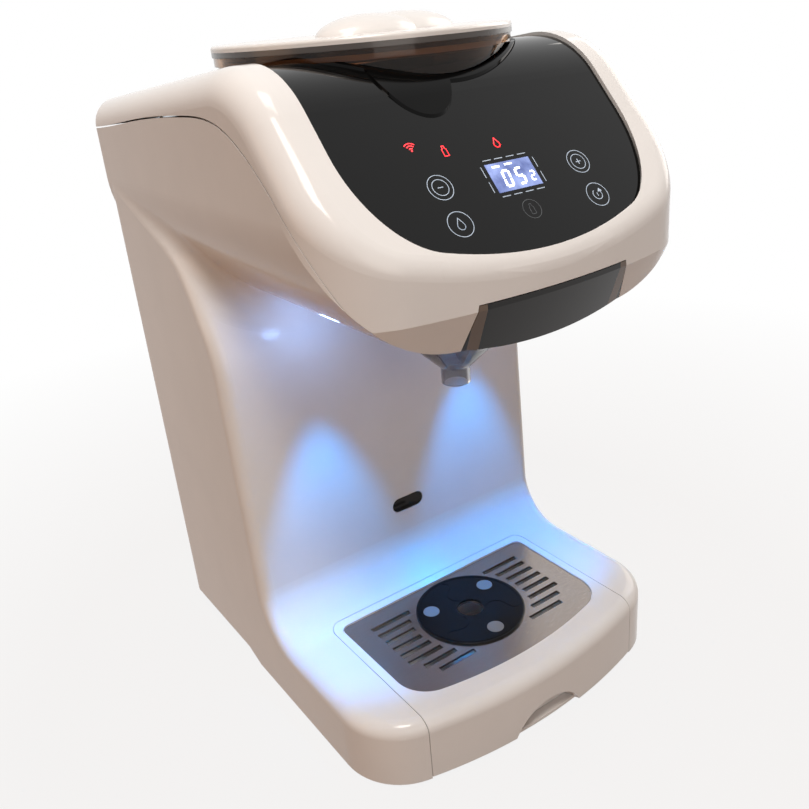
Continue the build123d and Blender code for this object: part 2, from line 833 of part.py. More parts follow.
with BuildPart() as drain_puck:
    post(0, pour_y, puck_low_z, puck_top_z, puck_radius)
    fillet(drain_puck.edges().group_by(Axis.Z)[-1], puck_edge_radius)
    post(0, pour_y, puck_low_z, puck_top_z + ridge_height, puck_radius - puck_edge_radius)
    post(0, pour_y, puck_top_z, puck_top_z + 1, puck_radius - puck_edge_radius - ridge_width, Mode.SUBTRACT)
    post(0, pour_y, puck_low_z - 1, puck_top_z + 1, puck_hole_radius, Mode.SUBTRACT)
    for x, y in pad_places:
        post(x, y, puck_top_z - pad_sink, puck_top_z + 1, pad_radius + running_gap, Mode.SUBTRACT)
    # S-shaped ridges that swirl out from the hole
    with BuildSketch(Plane.XY.offset(puck_top_z)):
        for index in range(3):
            add(ridge_outline.sketch.rotate(Axis.Z, ridge_angle + 120 * index).moved(Location((0, pour_y))))
    extrude(amount=ridge_height)
save(drain_puck, "drain_puck")

with BuildPart() as puck_pads:
    for x, y in pad_places:
        post(x, y, puck_top_z - pad_sink, puck_top_z + pad_rise, pad_radius)
save(puck_pads, "puck_pads")

# ---------------------------------------------------------------- funnel drawer

guide_outer = guide_half + guide_wall

with BuildPart() as funnel_guide:
    cuboid(-guide_outer, guide_outer, guide_front_y, guide_rear_y, guide_floor_z, guide_top_z)
    cuboid(-guide_half, guide_half, guide_front_y - 1, guide_rear_y - guide_wall, carrier_z - body_gap,
           guide_roof_z, Mode.SUBTRACT)
    post(0, pour_y, guide_floor_z - 1, carrier_z, slot_half + fit_gap, Mode.SUBTRACT)
    cuboid(-slot_half - fit_gap, slot_half + fit_gap, guide_front_y - 1, pour_y, guide_floor_z - 1, carrier_z,
           Mode.SUBTRACT)
    post(0, chute_y, guide_roof_z - 1, guide_top_z + 1, chute_radius + body_gap, Mode.SUBTRACT)
    post(0, spout_y, guide_roof_z - 1, guide_top_z + 1, spout_radius + body_gap, Mode.SUBTRACT)
save(funnel_guide, "funnel_guide")

with BuildPart() as funnel_carrier:
    cuboid(-guide_half + body_gap, guide_half - body_gap, -through, guide_rear_y - guide_wall - body_gap,
           carrier_z, carrier_z + carrier_thickness)
    add(inner_head, mode=Mode.INTERSECT)
    post(0, pour_y, carrier_z - 1, carrier_z + 2 * carrier_thickness, funnel_radius + body_gap, Mode.SUBTRACT)
save(funnel_carrier, "funnel_carrier")

with BuildPart() as funnel_cover:
    add(outer_head)
    add(inner_head, mode=Mode.SUBTRACT)
    extrude(cover_outline(0), amount=through, mode=Mode.INTERSECT)
    cuboid(-half_width, half_width, cover_back_y, through, 0, sky_z, Mode.SUBTRACT)
save(funnel_cover, "funnel_cover")

flange_low_z = carrier_z + carrier_thickness
with BuildPart() as mixing_funnel:
    with BuildSketch(Plane.XZ.offset(-pour_y)) as funnel_profile:
        with BuildLine():
            Polyline((nozzle_radius - funnel_wall, funnel_tip_z), (nozzle_radius, funnel_tip_z),
                     (nozzle_radius, funnel_cone_bottom_z), (funnel_radius, funnel_cone_top_z),
                     (funnel_radius, flange_low_z), (funnel_flange_radius, flange_low_z),
                     (funnel_flange_radius, flange_low_z + funnel_wall),
                     (funnel_radius, flange_low_z + funnel_wall), (funnel_radius, funnel_rim_z),
                     (funnel_radius - funnel_wall, funnel_rim_z),
                     (funnel_radius - funnel_wall, funnel_cone_top_z),
                     (nozzle_radius - funnel_wall, funnel_cone_bottom_z),
                     (nozzle_radius - funnel_wall, funnel_tip_z))
        make_face()
    revolve(axis=Axis((0, pour_y, 0), (0, 0, 1)))
save(mixing_funnel, "mixing_funnel")

# ---------------------------------------------------------------- shelf and powder drive

gear_low_z = shelf_z + shelf_thickness + thrust_height + body_gap
gear_top_z = gear_low_z + gear_width
pinion_y = canister_y + gear_module * (gear_teeth + pinion_teeth) / 2
cover_top_face_z = canister_bottom_z - body_gap
shelf_top_z = shelf_z + shelf_thickness

with BuildPart() as chassis_shelf:
    cuboid(-shelf_half, shelf_half, shelf_front_y, tank_bay_front_y - wall, shelf_z, shelf_top_z)
    for x in (-shelf_post_x, shelf_post_x):
        for y in (shelf_post_front_y, shelf_post_rear_y):
            post(x, y, guide_top_z, shelf_z, shelf_post_radius)
    post(0, canister_y, shelf_z - 1, shelf_top_z + 1, shaft_radius + running_gap, Mode.SUBTRACT)
    post(0, pinion_y, shelf_z - 1, shelf_top_z + 1, 2 * pinion_shaft_radius, Mode.SUBTRACT)
    post(0, chute_y, shelf_z - 1, shelf_top_z + 1, chute_radius + body_gap, Mode.SUBTRACT)
save(chassis_shelf, "chassis_shelf")

with BuildPart() as powder_motor:
    post(0, pinion_y, shelf_z - motor_length, shelf_z, motor_radius)
    post(0, pinion_y, shelf_z - motor_length - 4, shelf_z - motor_length, motor_radius / 2)
    post(0, pinion_y, shelf_z - 10, shelf_z + 1, pinion_shaft_radius + running_gap, Mode.SUBTRACT)
save(powder_motor, "powder_motor")

with BuildPart() as drive_gear:
    with BuildSketch(Plane.XY.offset(gear_low_z)):
        with Locations((0, canister_y)):
            add(gear_outline(gear_teeth, pi / 2))
    extrude(amount=gear_width)
    post(0, canister_y, shelf_top_z + body_gap, gear_low_z, thrust_radius)
    post(0, canister_y, shelf_z - shaft_overhang, shelf_top_z + body_gap, shaft_radius)
    with BuildSketch(Plane.XY.offset(gear_top_z)):
        with Locations((0, canister_y)):
            Circle(shaft_radius)
            Rectangle(2 * shaft_radius, 2 * shaft_flat, mode=Mode.INTERSECT)
    extrude(amount=wheel_low_z + wheel_thickness - 2 - gear_top_z)
save(drive_gear, "drive_gear")

with BuildPart() as pinion:
    with BuildSketch(Plane.XY.offset(gear_low_z)):
        with Locations((0, pinion_y)):
            add(gear_outline(pinion_teeth, -pi / 2 + pi / pinion_teeth))
    extrude(amount=gear_width)
    post(0, pinion_y, shelf_top_z + body_gap, gear_low_z, 2.6 * pinion_shaft_radius)
    post(0, pinion_y, shelf_z - 8, gear_low_z, pinion_shaft_radius)
save(pinion, "pinion")

with BuildPart() as gear_cover:
    post(0, canister_y, shelf_top_z, cover_top_face_z, gear_cover_radius)
    post(0, canister_y, shelf_top_z - 1, cover_top_face_z - gear_cover_wall,
         gear_cover_radius - gear_cover_wall, Mode.SUBTRACT)
    post(0, canister_y, shelf_top_z, cover_top_face_z + 1, shaft_radius + 2 * body_gap, Mode.SUBTRACT)
    post(0, chute_y, shelf_top_z, cover_top_face_z + 1, chute_radius + body_gap, Mode.SUBTRACT)
save(gear_cover, "gear_cover")

with BuildPart() as powder_chute:
    post(0, chute_y, guide_roof_z - chute_overhang, cover_top_face_z, chute_radius)
    post(0, chute_y, guide_top_z, guide_top_z + 2, chute_radius + 1.5)
    post(0, chute_y, guide_roof_z - 5, cover_top_face_z + 1, chute_radius - chute_wall, Mode.SUBTRACT)
save(powder_chute, "powder_chute")

# ---------------------------------------------------------------- canister

with BuildPart() as canister_base:
    post(0, canister_y, canister_bottom_z, canister_joint_z - 3, base_cup_radius)
    post(0, canister_y, canister_joint_z - 3, canister_joint_z, canister_joint_radius)
    post(0, canister_y, canister_bottom_z + base_floor, canister_joint_z + 1, base_cup_radius - canister_wall,
         Mode.SUBTRACT)
    post(0, canister_y, canister_bottom_z - 1, canister_joint_z, hub_radius + running_gap, Mode.SUBTRACT)
    post(0, chute_y, canister_bottom_z - 1, canister_joint_z, outlet_radius, Mode.SUBTRACT)
save(canister_base, "canister_base")

with BuildPart() as canister_body:
    with BuildSketch(Plane.XZ.offset(-canister_y)):
        with BuildLine():
            Polyline((canister_joint_radius - canister_wall, canister_joint_z),
                     (canister_joint_radius, canister_joint_z),
                     (canister_top_radius, canister_top_z - flange_height),
                     (flange_radius, canister_top_z - flange_height), (flange_radius, canister_top_z),
                     (canister_top_radius - canister_wall, canister_top_z),
                     (canister_joint_radius - canister_wall, canister_joint_z))
        make_face()
    revolve(axis=Axis((0, canister_y, 0), (0, 0, 1)))
save(canister_body, "canister_body")

scraper_low_z = wheel_top_z + body_gap
with BuildPart() as outlet_scraper:
    with BuildSketch(Plane.XY.offset(scraper_low_z)):
        with Locations((0, canister_y)):
            Circle(base_cup_radius - canister_wall - running_gap)
            Circle(scraper_inner_radius, mode=Mode.SUBTRACT)
        with Locations((0, canister_y - scraper_inner_radius)):
            Rectangle(2 * scraper_half, 2 * base_cup_radius, align=(Align.CENTER, Align.CENTER),
                      mode=Mode.INTERSECT)
        with Locations((0, canister_y)):
            Rectangle(4 * base_cup_radius, 2 * base_cup_radius, align=(Align.CENTER, Align.MIN),
                      mode=Mode.SUBTRACT)
    extrude(amount=scraper_thickness)
save(outlet_scraper, "outlet_scraper")

with BuildPart() as dosing_wheel:
    post(0, canister_y, wheel_low_z, wheel_top_z, wheel_radius)
    post(0, canister_y, canister_bottom_z + body_gap, wheel_low_z, hub_radius)
    with Locations((0, canister_y, wheel_low_z)):
        with PolarLocations(canister_y - chute_y, pocket_count, start_angle=-90):
            Cylinder(pocket_radius, 3 * wheel_thickness, mode=Mode.SUBTRACT)
    with BuildSketch(Plane.XY.offset(canister_bottom_z)):
        with Locations((0, canister_y)):
            Circle(shaft_radius + body_gap)
            Rectangle(4 * shaft_radius, 2 * (shaft_flat + body_gap), mode=Mode.INTERSECT)
    extrude(amount=wheel_top_z - 1 - canister_bottom_z, mode=Mode.SUBTRACT)
save(dosing_wheel, "dosing_wheel")

with BuildPart() as stirrer:
    post(0, canister_y, wheel_top_z, arm_z + 2 * arm_height, hub_radius)
    cuboid(-arm_reach, arm_reach, canister_y - arm_half, canister_y + arm_half, arm_z, arm_z + arm_height)
    for x in (-arm_reach + arm_half, arm_reach - arm_half):
        post(x, canister_y, arm_z, arm_z + finger_height, arm_half)
save(stirrer, "stirrer")

plug_radius = canister_top_radius - canister_wall - seal_width - body_gap
grip_parts = []
for x, y, length, width, turn in grip_domes:
    with BuildPart() as grip_dome:
        Sphere(1)
        scale(by=(length, width, grip_height))
    grip_parts.append(grip_dome.part.moved(Location((x, y, lid_top_z - lid_edge_radius), (0, 0, turn))))

with BuildPart() as canister_lid:
    post(0, canister_y, lid_low_z, lid_top_z, lid_radius)
    fillet(canister_lid.edges().group_by(Axis.Z)[-1], lid_edge_radius)
    add(grip_parts)
    cuboid(-lid_radius, lid_radius, canister_y - lid_radius, canister_y + lid_radius, 0, lid_low_z,
           Mode.SUBTRACT)
    post(0, canister_y, lid_low_z - plug_depth, lid_low_z, plug_radius)
    post(0, canister_y, lid_low_z - plug_depth - 1, lid_low_z, plug_radius - 2 * canister_wall, Mode.SUBTRACT)
save(canister_lid, "canister_lid")

with BuildPart() as lid_seal:
    post(0, canister_y, lid_low_z - plug_depth + 1, lid_low_z - plug_depth + 1 + seal_height,
         plug_radius + seal_width)
    post(0, canister_y, lid_low_z - plug_depth, lid_low_z, plug_radius, Mode.SUBTRACT)
save(lid_seal, "lid_seal")

# ---------------------------------------------------------------- water tank

rim_drop = panel_drop + tank_lid_thickness + body_gap
tank_front_y = tank_bay_front_y + fit_gap
tank_rear_y = rear_y - body_gap
tank_low_z = tank_bay_floor_z + body_gap
hinge_y = tank_rear_y - hinge_barrel_radius
lid_drop = (panel_drop + tank_lid_thickness) / cos(radians(crown_rise))
hinge_z = crown_rear_z - lid_drop - hinge_barrel_radius - body_gap
ear_half = tank_half - tank_wall


def tank_block(inset, low_z):
    """Upright block with the tank's rounded corners, moved inward by inset."""
    with BuildPart() as form:
        cuboid(-tank_half + inset, tank_half - inset, tank_front_y + inset, tank_rear_y - inset, low_z, sky_z)
        fillet(form.edges().filter_by(Axis.Z), tank_corner_radius - inset)
    return form.part


def hinge_rod(half_length, radius, mode=Mode.ADD):
    """Cylinder along X on the lid's hinge axis, in the active part."""
    with Locations((0, hinge_y, hinge_z)):
        Cylinder(radius, 2 * half_length, rotation=(0, 90, 0), mode=mode)


with BuildPart() as rim_corner:
    cuboid(-half_width, half_width, hinge_y, through, hinge_z, sky_z)
    hinge_rod(half_width + 1, hinge_barrel_radius, Mode.SUBTRACT)

with BuildPart() as water_tank:
    add(tank_block(0, tank_low_z))
    add(tank_block(tank_wall, tank_low_z + tank_wall), mode=Mode.SUBTRACT)
    extrude(under_crown(rim_drop, 0), amount=through, both=True, mode=Mode.INTERSECT)
    # ears for the hinge pin, and room for the lid's barrel between them
    for side in (-1, 1):
        with Locations((side * (barrel_half + ear_half + body_gap) / 2, hinge_y, hinge_z)):
            Cylinder(hinge_barrel_radius, ear_half - barrel_half - body_gap, rotation=(0, 90, 0))
    add(rim_corner.part, mode=Mode.SUBTRACT)
    cuboid(-barrel_half - body_gap, barrel_half + body_gap, tank_rear_y - 2 * tank_wall, through,
           hinge_z - hinge_barrel_radius - body_gap, sky_z, Mode.SUBTRACT)
    hinge_rod(ear_half + pin_depth, hinge_pin_radius + running_gap, Mode.SUBTRACT)
    # spigot with a spider that guides the valve
    post(spigot_x, spigot_y, tank_low_z - spigot_drop, tank_low_z, spigot_radius)
    post(spigot_x, spigot_y, tank_low_z - spigot_drop - 1, tank_low_z - spigot_drop + 2,
         spigot_radius - tank_wall, Mode.SUBTRACT)
    post(spigot_x, spigot_y, tank_low_z - spigot_drop + 4, tank_low_z, spigot_radius - tank_wall,
         Mode.SUBTRACT)
    post(spigot_x, spigot_y, tank_low_z - 1, tank_low_z + 2 * tank_wall, valve_seat_radius, Mode.SUBTRACT)
    post(spigot_x, spigot_y, 0, tank_low_z, valve_stem_radius + running_gap, Mode.SUBTRACT)
    with Locations((spigot_x, spigot_y, tank_low_z - spigot_drop)):
        with PolarLocations(valve_seat_radius - 0.8, 3):
            Cylinder(1.3, 2 * spigot_drop, mode=Mode.SUBTRACT)
save(water_tank, "water_tank")

with BuildPart() as tank_lid:
    add(tank_block(0, tank_low_z))
    extrude(under_crown(panel_drop), amount=through, both=True, mode=Mode.INTERSECT)
    extrude(under_crown(panel_drop + tank_lid_thickness, 0), amount=through, both=True, mode=Mode.SUBTRACT)
    hinge_rod(barrel_half, hinge_barrel_radius)
    cuboid(-barrel_half, barrel_half, hinge_y - hinge_barrel_radius, hinge_y + hinge_barrel_radius, hinge_z,
           hinge_z + hinge_barrel_radius + 1)
    hinge_rod(barrel_half + 1, hinge_pin_radius, Mode.SUBTRACT)
save(tank_lid, "tank_lid")

with BuildPart() as hinge_pin:
    hinge_rod(ear_half + pin_depth - body_gap, hinge_pin_radius)
save(hinge_pin, "hinge_pin")

valve_low_z = tank_low_z + tank_wall + body_gap
with BuildPart() as tank_valve:
    post(spigot_x, spigot_y, valve_low_z, valve_low_z + valve_thickness, valve_seat_radius + 2)
    post(spigot_x, spigot_y, tank_low_z - spigot_drop + 1, valve_low_z, valve_stem_radius)
save(tank_valve, "tank_valve")

socket_top_z = tank_bay_floor_z - wall
socket_radius = spigot_radius + fit_gap + socket_wall
with BuildPart() as tank_socket:
    post(spigot_x, spigot_y, socket_low_z, socket_top_z, socket_radius)
    with Locations((spigot_x, spigot_y - socket_radius + 1, hose_z)):
        Cylinder(hose_radius, socket_wall * 4, rotation=(90, 0, 0),
                 align=(Align.CENTER, Align.CENTER, Align.MIN))
    post(spigot_x, spigot_y, socket_low_z + socket_wall, socket_top_z + 1, spigot_radius + fit_gap,
         Mode.SUBTRACT)
save(tank_socket, "tank_socket")

# ---------------------------------------------------------------- power, water and control parts inside

with BuildPart() as power_inlet:
    inlet_front_y = rear_y - wall - inlet_depth
    cuboid(inlet_x - inlet_length / 2, inlet_x + inlet_length / 2, inlet_front_y, rear_y - body_gap,
           inlet_z - inlet_height / 2, inlet_z + inlet_height / 2)
    cuboid(inlet_x - inlet_length / 2 - 2, inlet_x + inlet_length / 2 + 2, rear_y - wall - 2, rear_y - wall,
           inlet_z - inlet_height / 2 - 2, inlet_z + inlet_height / 2 + 2)
    cuboid(inlet_x - inlet_length / 2 + 2, inlet_x + inlet_length / 2 - 2, inlet_front_y + 3, rear_y,
           inlet_z - inlet_height / 2 + 2, inlet_z + inlet_height / 2 - 2, Mode.SUBTRACT)
    for side in (-1, 1):
        with Locations((inlet_x + side * inlet_pin_spread, inlet_front_y + 2, inlet_z)):
            Cylinder(inlet_pin_radius, inlet_depth - 5, rotation=(-90, 0, 0),
                     align=(Align.CENTER, Align.CENTER, Align.MIN))
save(power_inlet, "power_inlet")

with BuildPart() as power_supply:
    board_z = rear_plate_z + standoff_height
    cuboid(supply_x, supply_x + supply_length, supply_y, supply_y + supply_width, board_z,
           board_z + board_thickness)
    for x in (supply_x + 5, supply_x + supply_length - 5):
        for y in (supply_y + 5, supply_y + supply_width - 5):
            post(x, y, rear_plate_z, board_z, standoff_radius)
    cuboid(supply_x + 8, supply_x + 34, supply_y + 6, supply_y + supply_width - 6, board_z, board_z + 28)
    for y in (supply_y + 9, supply_y + supply_width - 9):
        post(supply_x + 50, y, board_z, board_z + 26, 7)
save(power_supply, "power_supply")

bay_wall_y = tank_bay_front_y - wall
with BuildPart() as control_board:
    board_y = bay_wall_y - standoff_height
    cuboid(control_x, control_x + control_length, board_y - board_thickness, board_y, control_z,
           control_z + control_height)
    for x in (control_x + 6, control_x + control_length - 6):
        for z in (control_z + 6, control_z + control_height - 6):
            with Locations((x, board_y, z)):
                Cylinder(standoff_radius, standoff_height, rotation=(-90, 0, 0),
                         align=(Align.CENTER, Align.CENTER, Align.MIN))
    cuboid(control_x + 20, control_x + 36, board_y - 5, board_y, control_z + 40, control_z + 56)
    cuboid(control_x + 45, control_x + 65, board_y - 16, board_y, control_z + 85, control_z + 110)
save(control_board, "control_board")

with BuildPart() as pump:
    post(pump_x, pump_y, rear_plate_z, rear_plate_z + 3, pump_radius + 3)
    post(pump_x, pump_y, rear_plate_z, pump_top_z, pump_radius)
    post(pump_x, pump_y, pump_top_z, pump_top_z + 5, hose_radius)
    with Locations((pump_x, pump_y, hose_z)):
        Cylinder(hose_radius, pump_radius + 4, rotation=(-90, 0, 0),
                 align=(Align.CENTER, Align.CENTER, Align.MIN))
save(pump, "pump")

with BuildPart() as heater:
    post(heater_x, heater_y, heater_low_z, heater_top_z, heater_radius)
    chamfer(heater.edges(), 4)
    post(heater_x, heater_y, heater_low_z - 5, heater_top_z + 5, hose_radius)
save(heater, "heater")

with BuildPart() as heater_bracket:
    cuboid(heater_x - heater_radius, heater_x + heater_radius, bay_wall_y - 2.5, bay_wall_y,
           heater_low_z - 10, heater_top_z + 10)
    for z in (heater_low_z + 10, heater_top_z - 25):
        cuboid(heater_x - 20, heater_x + 20, heater_y + heater_radius - 8, bay_wall_y, z, z + 15)
    post(heater_x, heater_y, heater_low_z - 20, heater_top_z + 20, heater_radius + screw_clearance,
         Mode.SUBTRACT)
save(heater_bracket, "heater_bracket")

spout_port_y = spout_y + 3 * spout_radius
with BuildPart() as water_spout:
    post(0, spout_y, guide_roof_z - chute_overhang, spout_z + hose_radius, spout_radius)
    post(0, spout_y, guide_top_z, guide_top_z + 2, 2 * spout_radius)
    with Locations((0, spout_y, spout_z)):
        Cylinder(hose_radius, spout_port_y - spout_y, rotation=(-90, 0, 0),
                 align=(Align.CENTER, Align.CENTER, Align.MIN))
    post(0, spout_y, guide_roof_z - 5, spout_z, hose_radius - 1.5, Mode.SUBTRACT)
save(water_spout, "water_spout")

hose_start_y = spigot_y - socket_radius + 1 - 4 * socket_wall
hose_routes = [
    [(heater_x, heater_y, heater_top_z + 5), (heater_x, heater_y, spout_z),
     (hose_turn_x, hose_turn_y, spout_z), (0, 0, spout_z), (0, spout_port_y, spout_z)],
    [(pump_x, pump_y, pump_top_z + 5), (pump_x, pump_y, pump_top_z + 14),
     (heater_x, heater_y, heater_low_z - 14), (heater_x, heater_y, heater_low_z - 5)],
]
with BuildPart() as water_hoses:
    for route in hose_routes:
        with BuildLine() as hose_path:
            FilletPolyline(*route, radius=hose_bend_radius)
        with BuildSketch(Plane(origin=hose_path.line @ 0, z_dir=hose_path.line % 0)):
            Circle(hose_radius)
        sweep(path=hose_path.line)
    with Locations((pump_x, pump_y + pump_radius + 4, hose_z)):
        Cylinder(hose_radius, hose_start_y - pump_y - pump_radius - 4, rotation=(-90, 0, 0),
                 align=(Align.CENTER, Align.CENTER, Align.MIN))
save(water_hoses, "water_hoses")
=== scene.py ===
"""Looks of the baby formula maker: materials, finer pieces, printed marks, lamps, studio and camera.

The frame is the CAD model's: X right, Y to the rear, Z up, origin on the ground. Lengths are in metres. The
sizes of marks, profiles, slots and bands are in millimetres, and are multiplied by MM where they are used.
"""
import json
import math

import bmesh
import bpy
from mathutils import Matrix, Vector


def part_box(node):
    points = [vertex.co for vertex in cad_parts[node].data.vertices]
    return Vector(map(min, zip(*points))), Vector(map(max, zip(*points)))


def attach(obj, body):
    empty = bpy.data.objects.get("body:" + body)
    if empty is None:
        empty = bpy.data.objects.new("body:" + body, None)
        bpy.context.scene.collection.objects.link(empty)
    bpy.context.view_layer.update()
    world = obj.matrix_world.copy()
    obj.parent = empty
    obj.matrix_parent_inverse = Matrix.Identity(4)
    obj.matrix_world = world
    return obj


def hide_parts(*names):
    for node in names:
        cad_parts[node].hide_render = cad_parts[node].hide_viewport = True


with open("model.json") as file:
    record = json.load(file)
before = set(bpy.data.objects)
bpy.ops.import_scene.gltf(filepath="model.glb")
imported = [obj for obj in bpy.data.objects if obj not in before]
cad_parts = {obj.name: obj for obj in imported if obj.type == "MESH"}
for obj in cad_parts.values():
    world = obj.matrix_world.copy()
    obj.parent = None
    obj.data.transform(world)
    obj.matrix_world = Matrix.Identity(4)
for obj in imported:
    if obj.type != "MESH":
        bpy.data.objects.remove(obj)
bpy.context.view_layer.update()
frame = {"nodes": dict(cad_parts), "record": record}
nodes = frame["nodes"]
bodies = frame["record"]["behaviour"]["bodies"]
MM = 0.001

# ---------------------------------------------------------------- camera

# solved from points on the object: pixels of the photograph, metres and degrees
IMAGE_SIZE = 809
FOCAL_PIXELS = 866.6
SENSOR_WIDTH = 36.0
CAMERA_PLACE = (-0.2642, -0.4043, 0.3778)
CAMERA_AZIMUTH = -33.21
CAMERA_ELEVATION = 23.97
CAMERA_ROLL = -5.16
IMAGE_CENTRE = (403.6, 402.8)
CLIP_RANGE = (0.01, 50.0)


def make_camera():
    """The camera at the photograph's place, as a turn round the upright axis, a rise and a roll."""
    azimuth, elevation = math.radians(CAMERA_AZIMUTH), math.radians(CAMERA_ELEVATION)
    roll = math.radians(CAMERA_ROLL)
    back = Vector((math.sin(azimuth) * math.cos(elevation), -math.cos(azimuth) * math.cos(elevation),
                   math.sin(elevation)))
    right = Vector((0, 0, 1)).cross(back).normalized()
    up = back.cross(right)
    rolled_right = math.cos(roll) * right + math.sin(roll) * up
    rolled_up = math.cos(roll) * up - math.sin(roll) * right
    data = bpy.data.cameras.new("camera")
    data.sensor_width = SENSOR_WIDTH
    data.lens = FOCAL_PIXELS * SENSOR_WIDTH / IMAGE_SIZE
    data.shift_x = (IMAGE_SIZE / 2 - IMAGE_CENTRE[0]) / IMAGE_SIZE
    data.shift_y = (IMAGE_CENTRE[1] - IMAGE_SIZE / 2) / IMAGE_SIZE
    data.clip_start, data.clip_end = CLIP_RANGE
    camera = bpy.data.objects.new("camera", data)
    turn = Matrix((rolled_right, rolled_up, back)).transposed().to_4x4()
    camera.matrix_world = Matrix.Translation(CAMERA_PLACE) @ turn
    bpy.context.scene.collection.objects.link(camera)
    bpy.context.scene.camera = camera


make_camera()

# ---------------------------------------------------------------- materials

MOTTLE_SCALE, MOTTLE_SHADE = 35, 0.97
GLOSS_SCALE = 120
GRAIN_DEPTH = 0.2
COAT_ROUGHNESS = 0.05
CLEAR_SCALE, CLEAR_SHADE, CLEAR_STRETCH = 18, 0.93, (1, 1, 0.25)
CLEAR_GLOSS_SCALE, CLEAR_SMOOTHEST, CLEAR_ROUGHEST = 90, 0.6, 1.6
BRUSH_SCALE, BRUSH_DETAIL, BRUSH_SHADE = 260, 6, 0.86
BRUSH_SMOOTHEST, BRUSH_ROUGHEST = 0.75, 1.3
BRUSH_RELIEF, BRUSH_DEPTH = 0.15, 0.05
LIT_ROUGHNESS = 0.25
TRACK_SCALE, TRACK_WIDTH, BOARD_ROUGHNESS = 60, 0.03, 0.35
BOARD_GREENS = [("Color1", (0.01, 0.09, 0.03, 1)), ("Color2", (0.012, 0.11, 0.04, 1)),
                ("Mortar", (0.05, 0.22, 0.08, 1))]
RAMP_START, RAMP_END = 0.3, 0.7
BAND_SPAN = 400.0


def new_material(name):
    """An empty node material: (material, nodes, links, shader)."""
    material = bpy.data.materials.new(name)
    material.use_nodes = True
    tree = material.node_tree
    return material, tree.nodes, tree.links, tree.nodes["Principled BSDF"]


def noise(tree_nodes, links, scale, detail=3.0, stretch=(1, 1, 1)):
    """Factor of a noise in object space, stretched along the axes."""
    place = tree_nodes.new("ShaderNodeTexCoord")
    mapping = tree_nodes.new("ShaderNodeMapping")
    mapping.inputs["Scale"].default_value = stretch
    texture = tree_nodes.new("ShaderNodeTexNoise")
    texture.inputs["Scale"].default_value = scale
    texture.inputs["Detail"].default_value = detail
    links.new(place.outputs["Object"], mapping.inputs["Vector"])
    links.new(mapping.outputs["Vector"], texture.inputs["Vector"])
    return texture.outputs["Fac"]


def ramp(tree_nodes, links, factor, low, high):
    """Colour between two colours, driven by a factor."""
    node = tree_nodes.new("ShaderNodeValToRGB")
    first, last = node.color_ramp.elements
    first.position, last.position = RAMP_START, RAMP_END
    first.color, last.color = (*low, 1), (*high, 1)
    links.new(factor, node.inputs["Fac"])
    return node.outputs["Color"]


def uneven_gloss(tree_nodes, links, shader, factor, smoothest, roughest):
    """Roughness between two values, driven by a factor."""
    gloss = tree_nodes.new("ShaderNodeMapRange")
    gloss.inputs["To Min"].default_value = smoothest
    gloss.inputs["To Max"].default_value = roughest
    links.new(factor, gloss.inputs["Value"])
    links.new(gloss.outputs["Result"], shader.inputs["Roughness"])


def fine_relief(tree_nodes, links, shader, height, strength, depth):
    """Bump of a depth in millimetres, driven by a factor."""
    bump = tree_nodes.new("ShaderNodeBump")
    bump.inputs["Strength"].default_value = strength
    bump.inputs["Distance"].default_value = depth * MM
    links.new(height, bump.inputs["Height"])
    links.new(bump.outputs["Normal"], shader.inputs["Normal"])


def tone(colour, factor):
    """A colour made lighter or darker."""
    return tuple(min(1.0, c * factor) for c in colour)


def moulded(name, colour, rough, spread=0.04, peel=0.02, grain=900, coat=0.0, ior=1.5):
    """Moulded plastic or rubber: faint mottling, uneven gloss and a fine surface grain."""
    material, tree_nodes, links, shader = new_material(name)
    mottling = noise(tree_nodes, links, MOTTLE_SCALE)
    shade = ramp(tree_nodes, links, mottling, tone(colour, MOTTLE_SHADE), colour)
    links.new(shade, shader.inputs["Base Color"])
    uneven_gloss(tree_nodes, links, shader, noise(tree_nodes, links, GLOSS_SCALE),
                 max(0.0, rough - spread), rough + spread)
    fine_relief(tree_nodes, links, shader, noise(tree_nodes, links, grain), peel, GRAIN_DEPTH)
    shader.inputs["IOR"].default_value = ior
    shader.inputs["Coat Weight"].default_value = coat
    shader.inputs["Coat Roughness"].default_value = COAT_ROUGHNESS
    return material


def see_through(name, colour, rough, ior=1.46):
    """Clear or smoked moulded plastic."""
    material, tree_nodes, links, shader = new_material(name)
    flow = noise(tree_nodes, links, CLEAR_SCALE, stretch=CLEAR_STRETCH)
    shade = ramp(tree_nodes, links, flow, tone(colour, CLEAR_SHADE), colour)
    links.new(shade, shader.inputs["Base Color"])
    uneven_gloss(tree_nodes, links, shader, noise(tree_nodes, links, CLEAR_GLOSS_SCALE),
                 rough * CLEAR_SMOOTHEST, rough * CLEAR_ROUGHEST)
    shader.inputs["Transmission Weight"].default_value = 1.0
    shader.inputs["IOR"].default_value = ior
    return material


def metal(name, colour, rough, stretch):
    """Brushed or drawn metal: fine lines along one axis."""
    material, tree_nodes, links, shader = new_material(name)
    lines = noise(tree_nodes, links, BRUSH_SCALE, BRUSH_DETAIL, stretch)
    shade = ramp(tree_nodes, links, lines, tone(colour, BRUSH_SHADE), colour)
    links.new(shade, shader.inputs["Base Color"])
    uneven_gloss(tree_nodes, links, shader, lines, rough * BRUSH_SMOOTHEST, rough * BRUSH_ROUGHEST)
    fine_relief(tree_nodes, links, shader, lines, BRUSH_RELIEF, BRUSH_DEPTH)
    shader.inputs["Metallic"].default_value = 1.0
    return material


def glowing(name, low, high, strength, scale=400):
    """A lit area with slightly uneven brightness."""
    material, tree_nodes, links, shader = new_material(name)
    shade = ramp(tree_nodes, links, noise(tree_nodes, links, scale), low, high)
    links.new(shade, shader.inputs["Emission Color"])
    links.new(shade, shader.inputs["Base Color"])
    shader.inputs["Emission Strength"].default_value = strength
    shader.inputs["Roughness"].default_value = LIT_ROUGHNESS
    return material


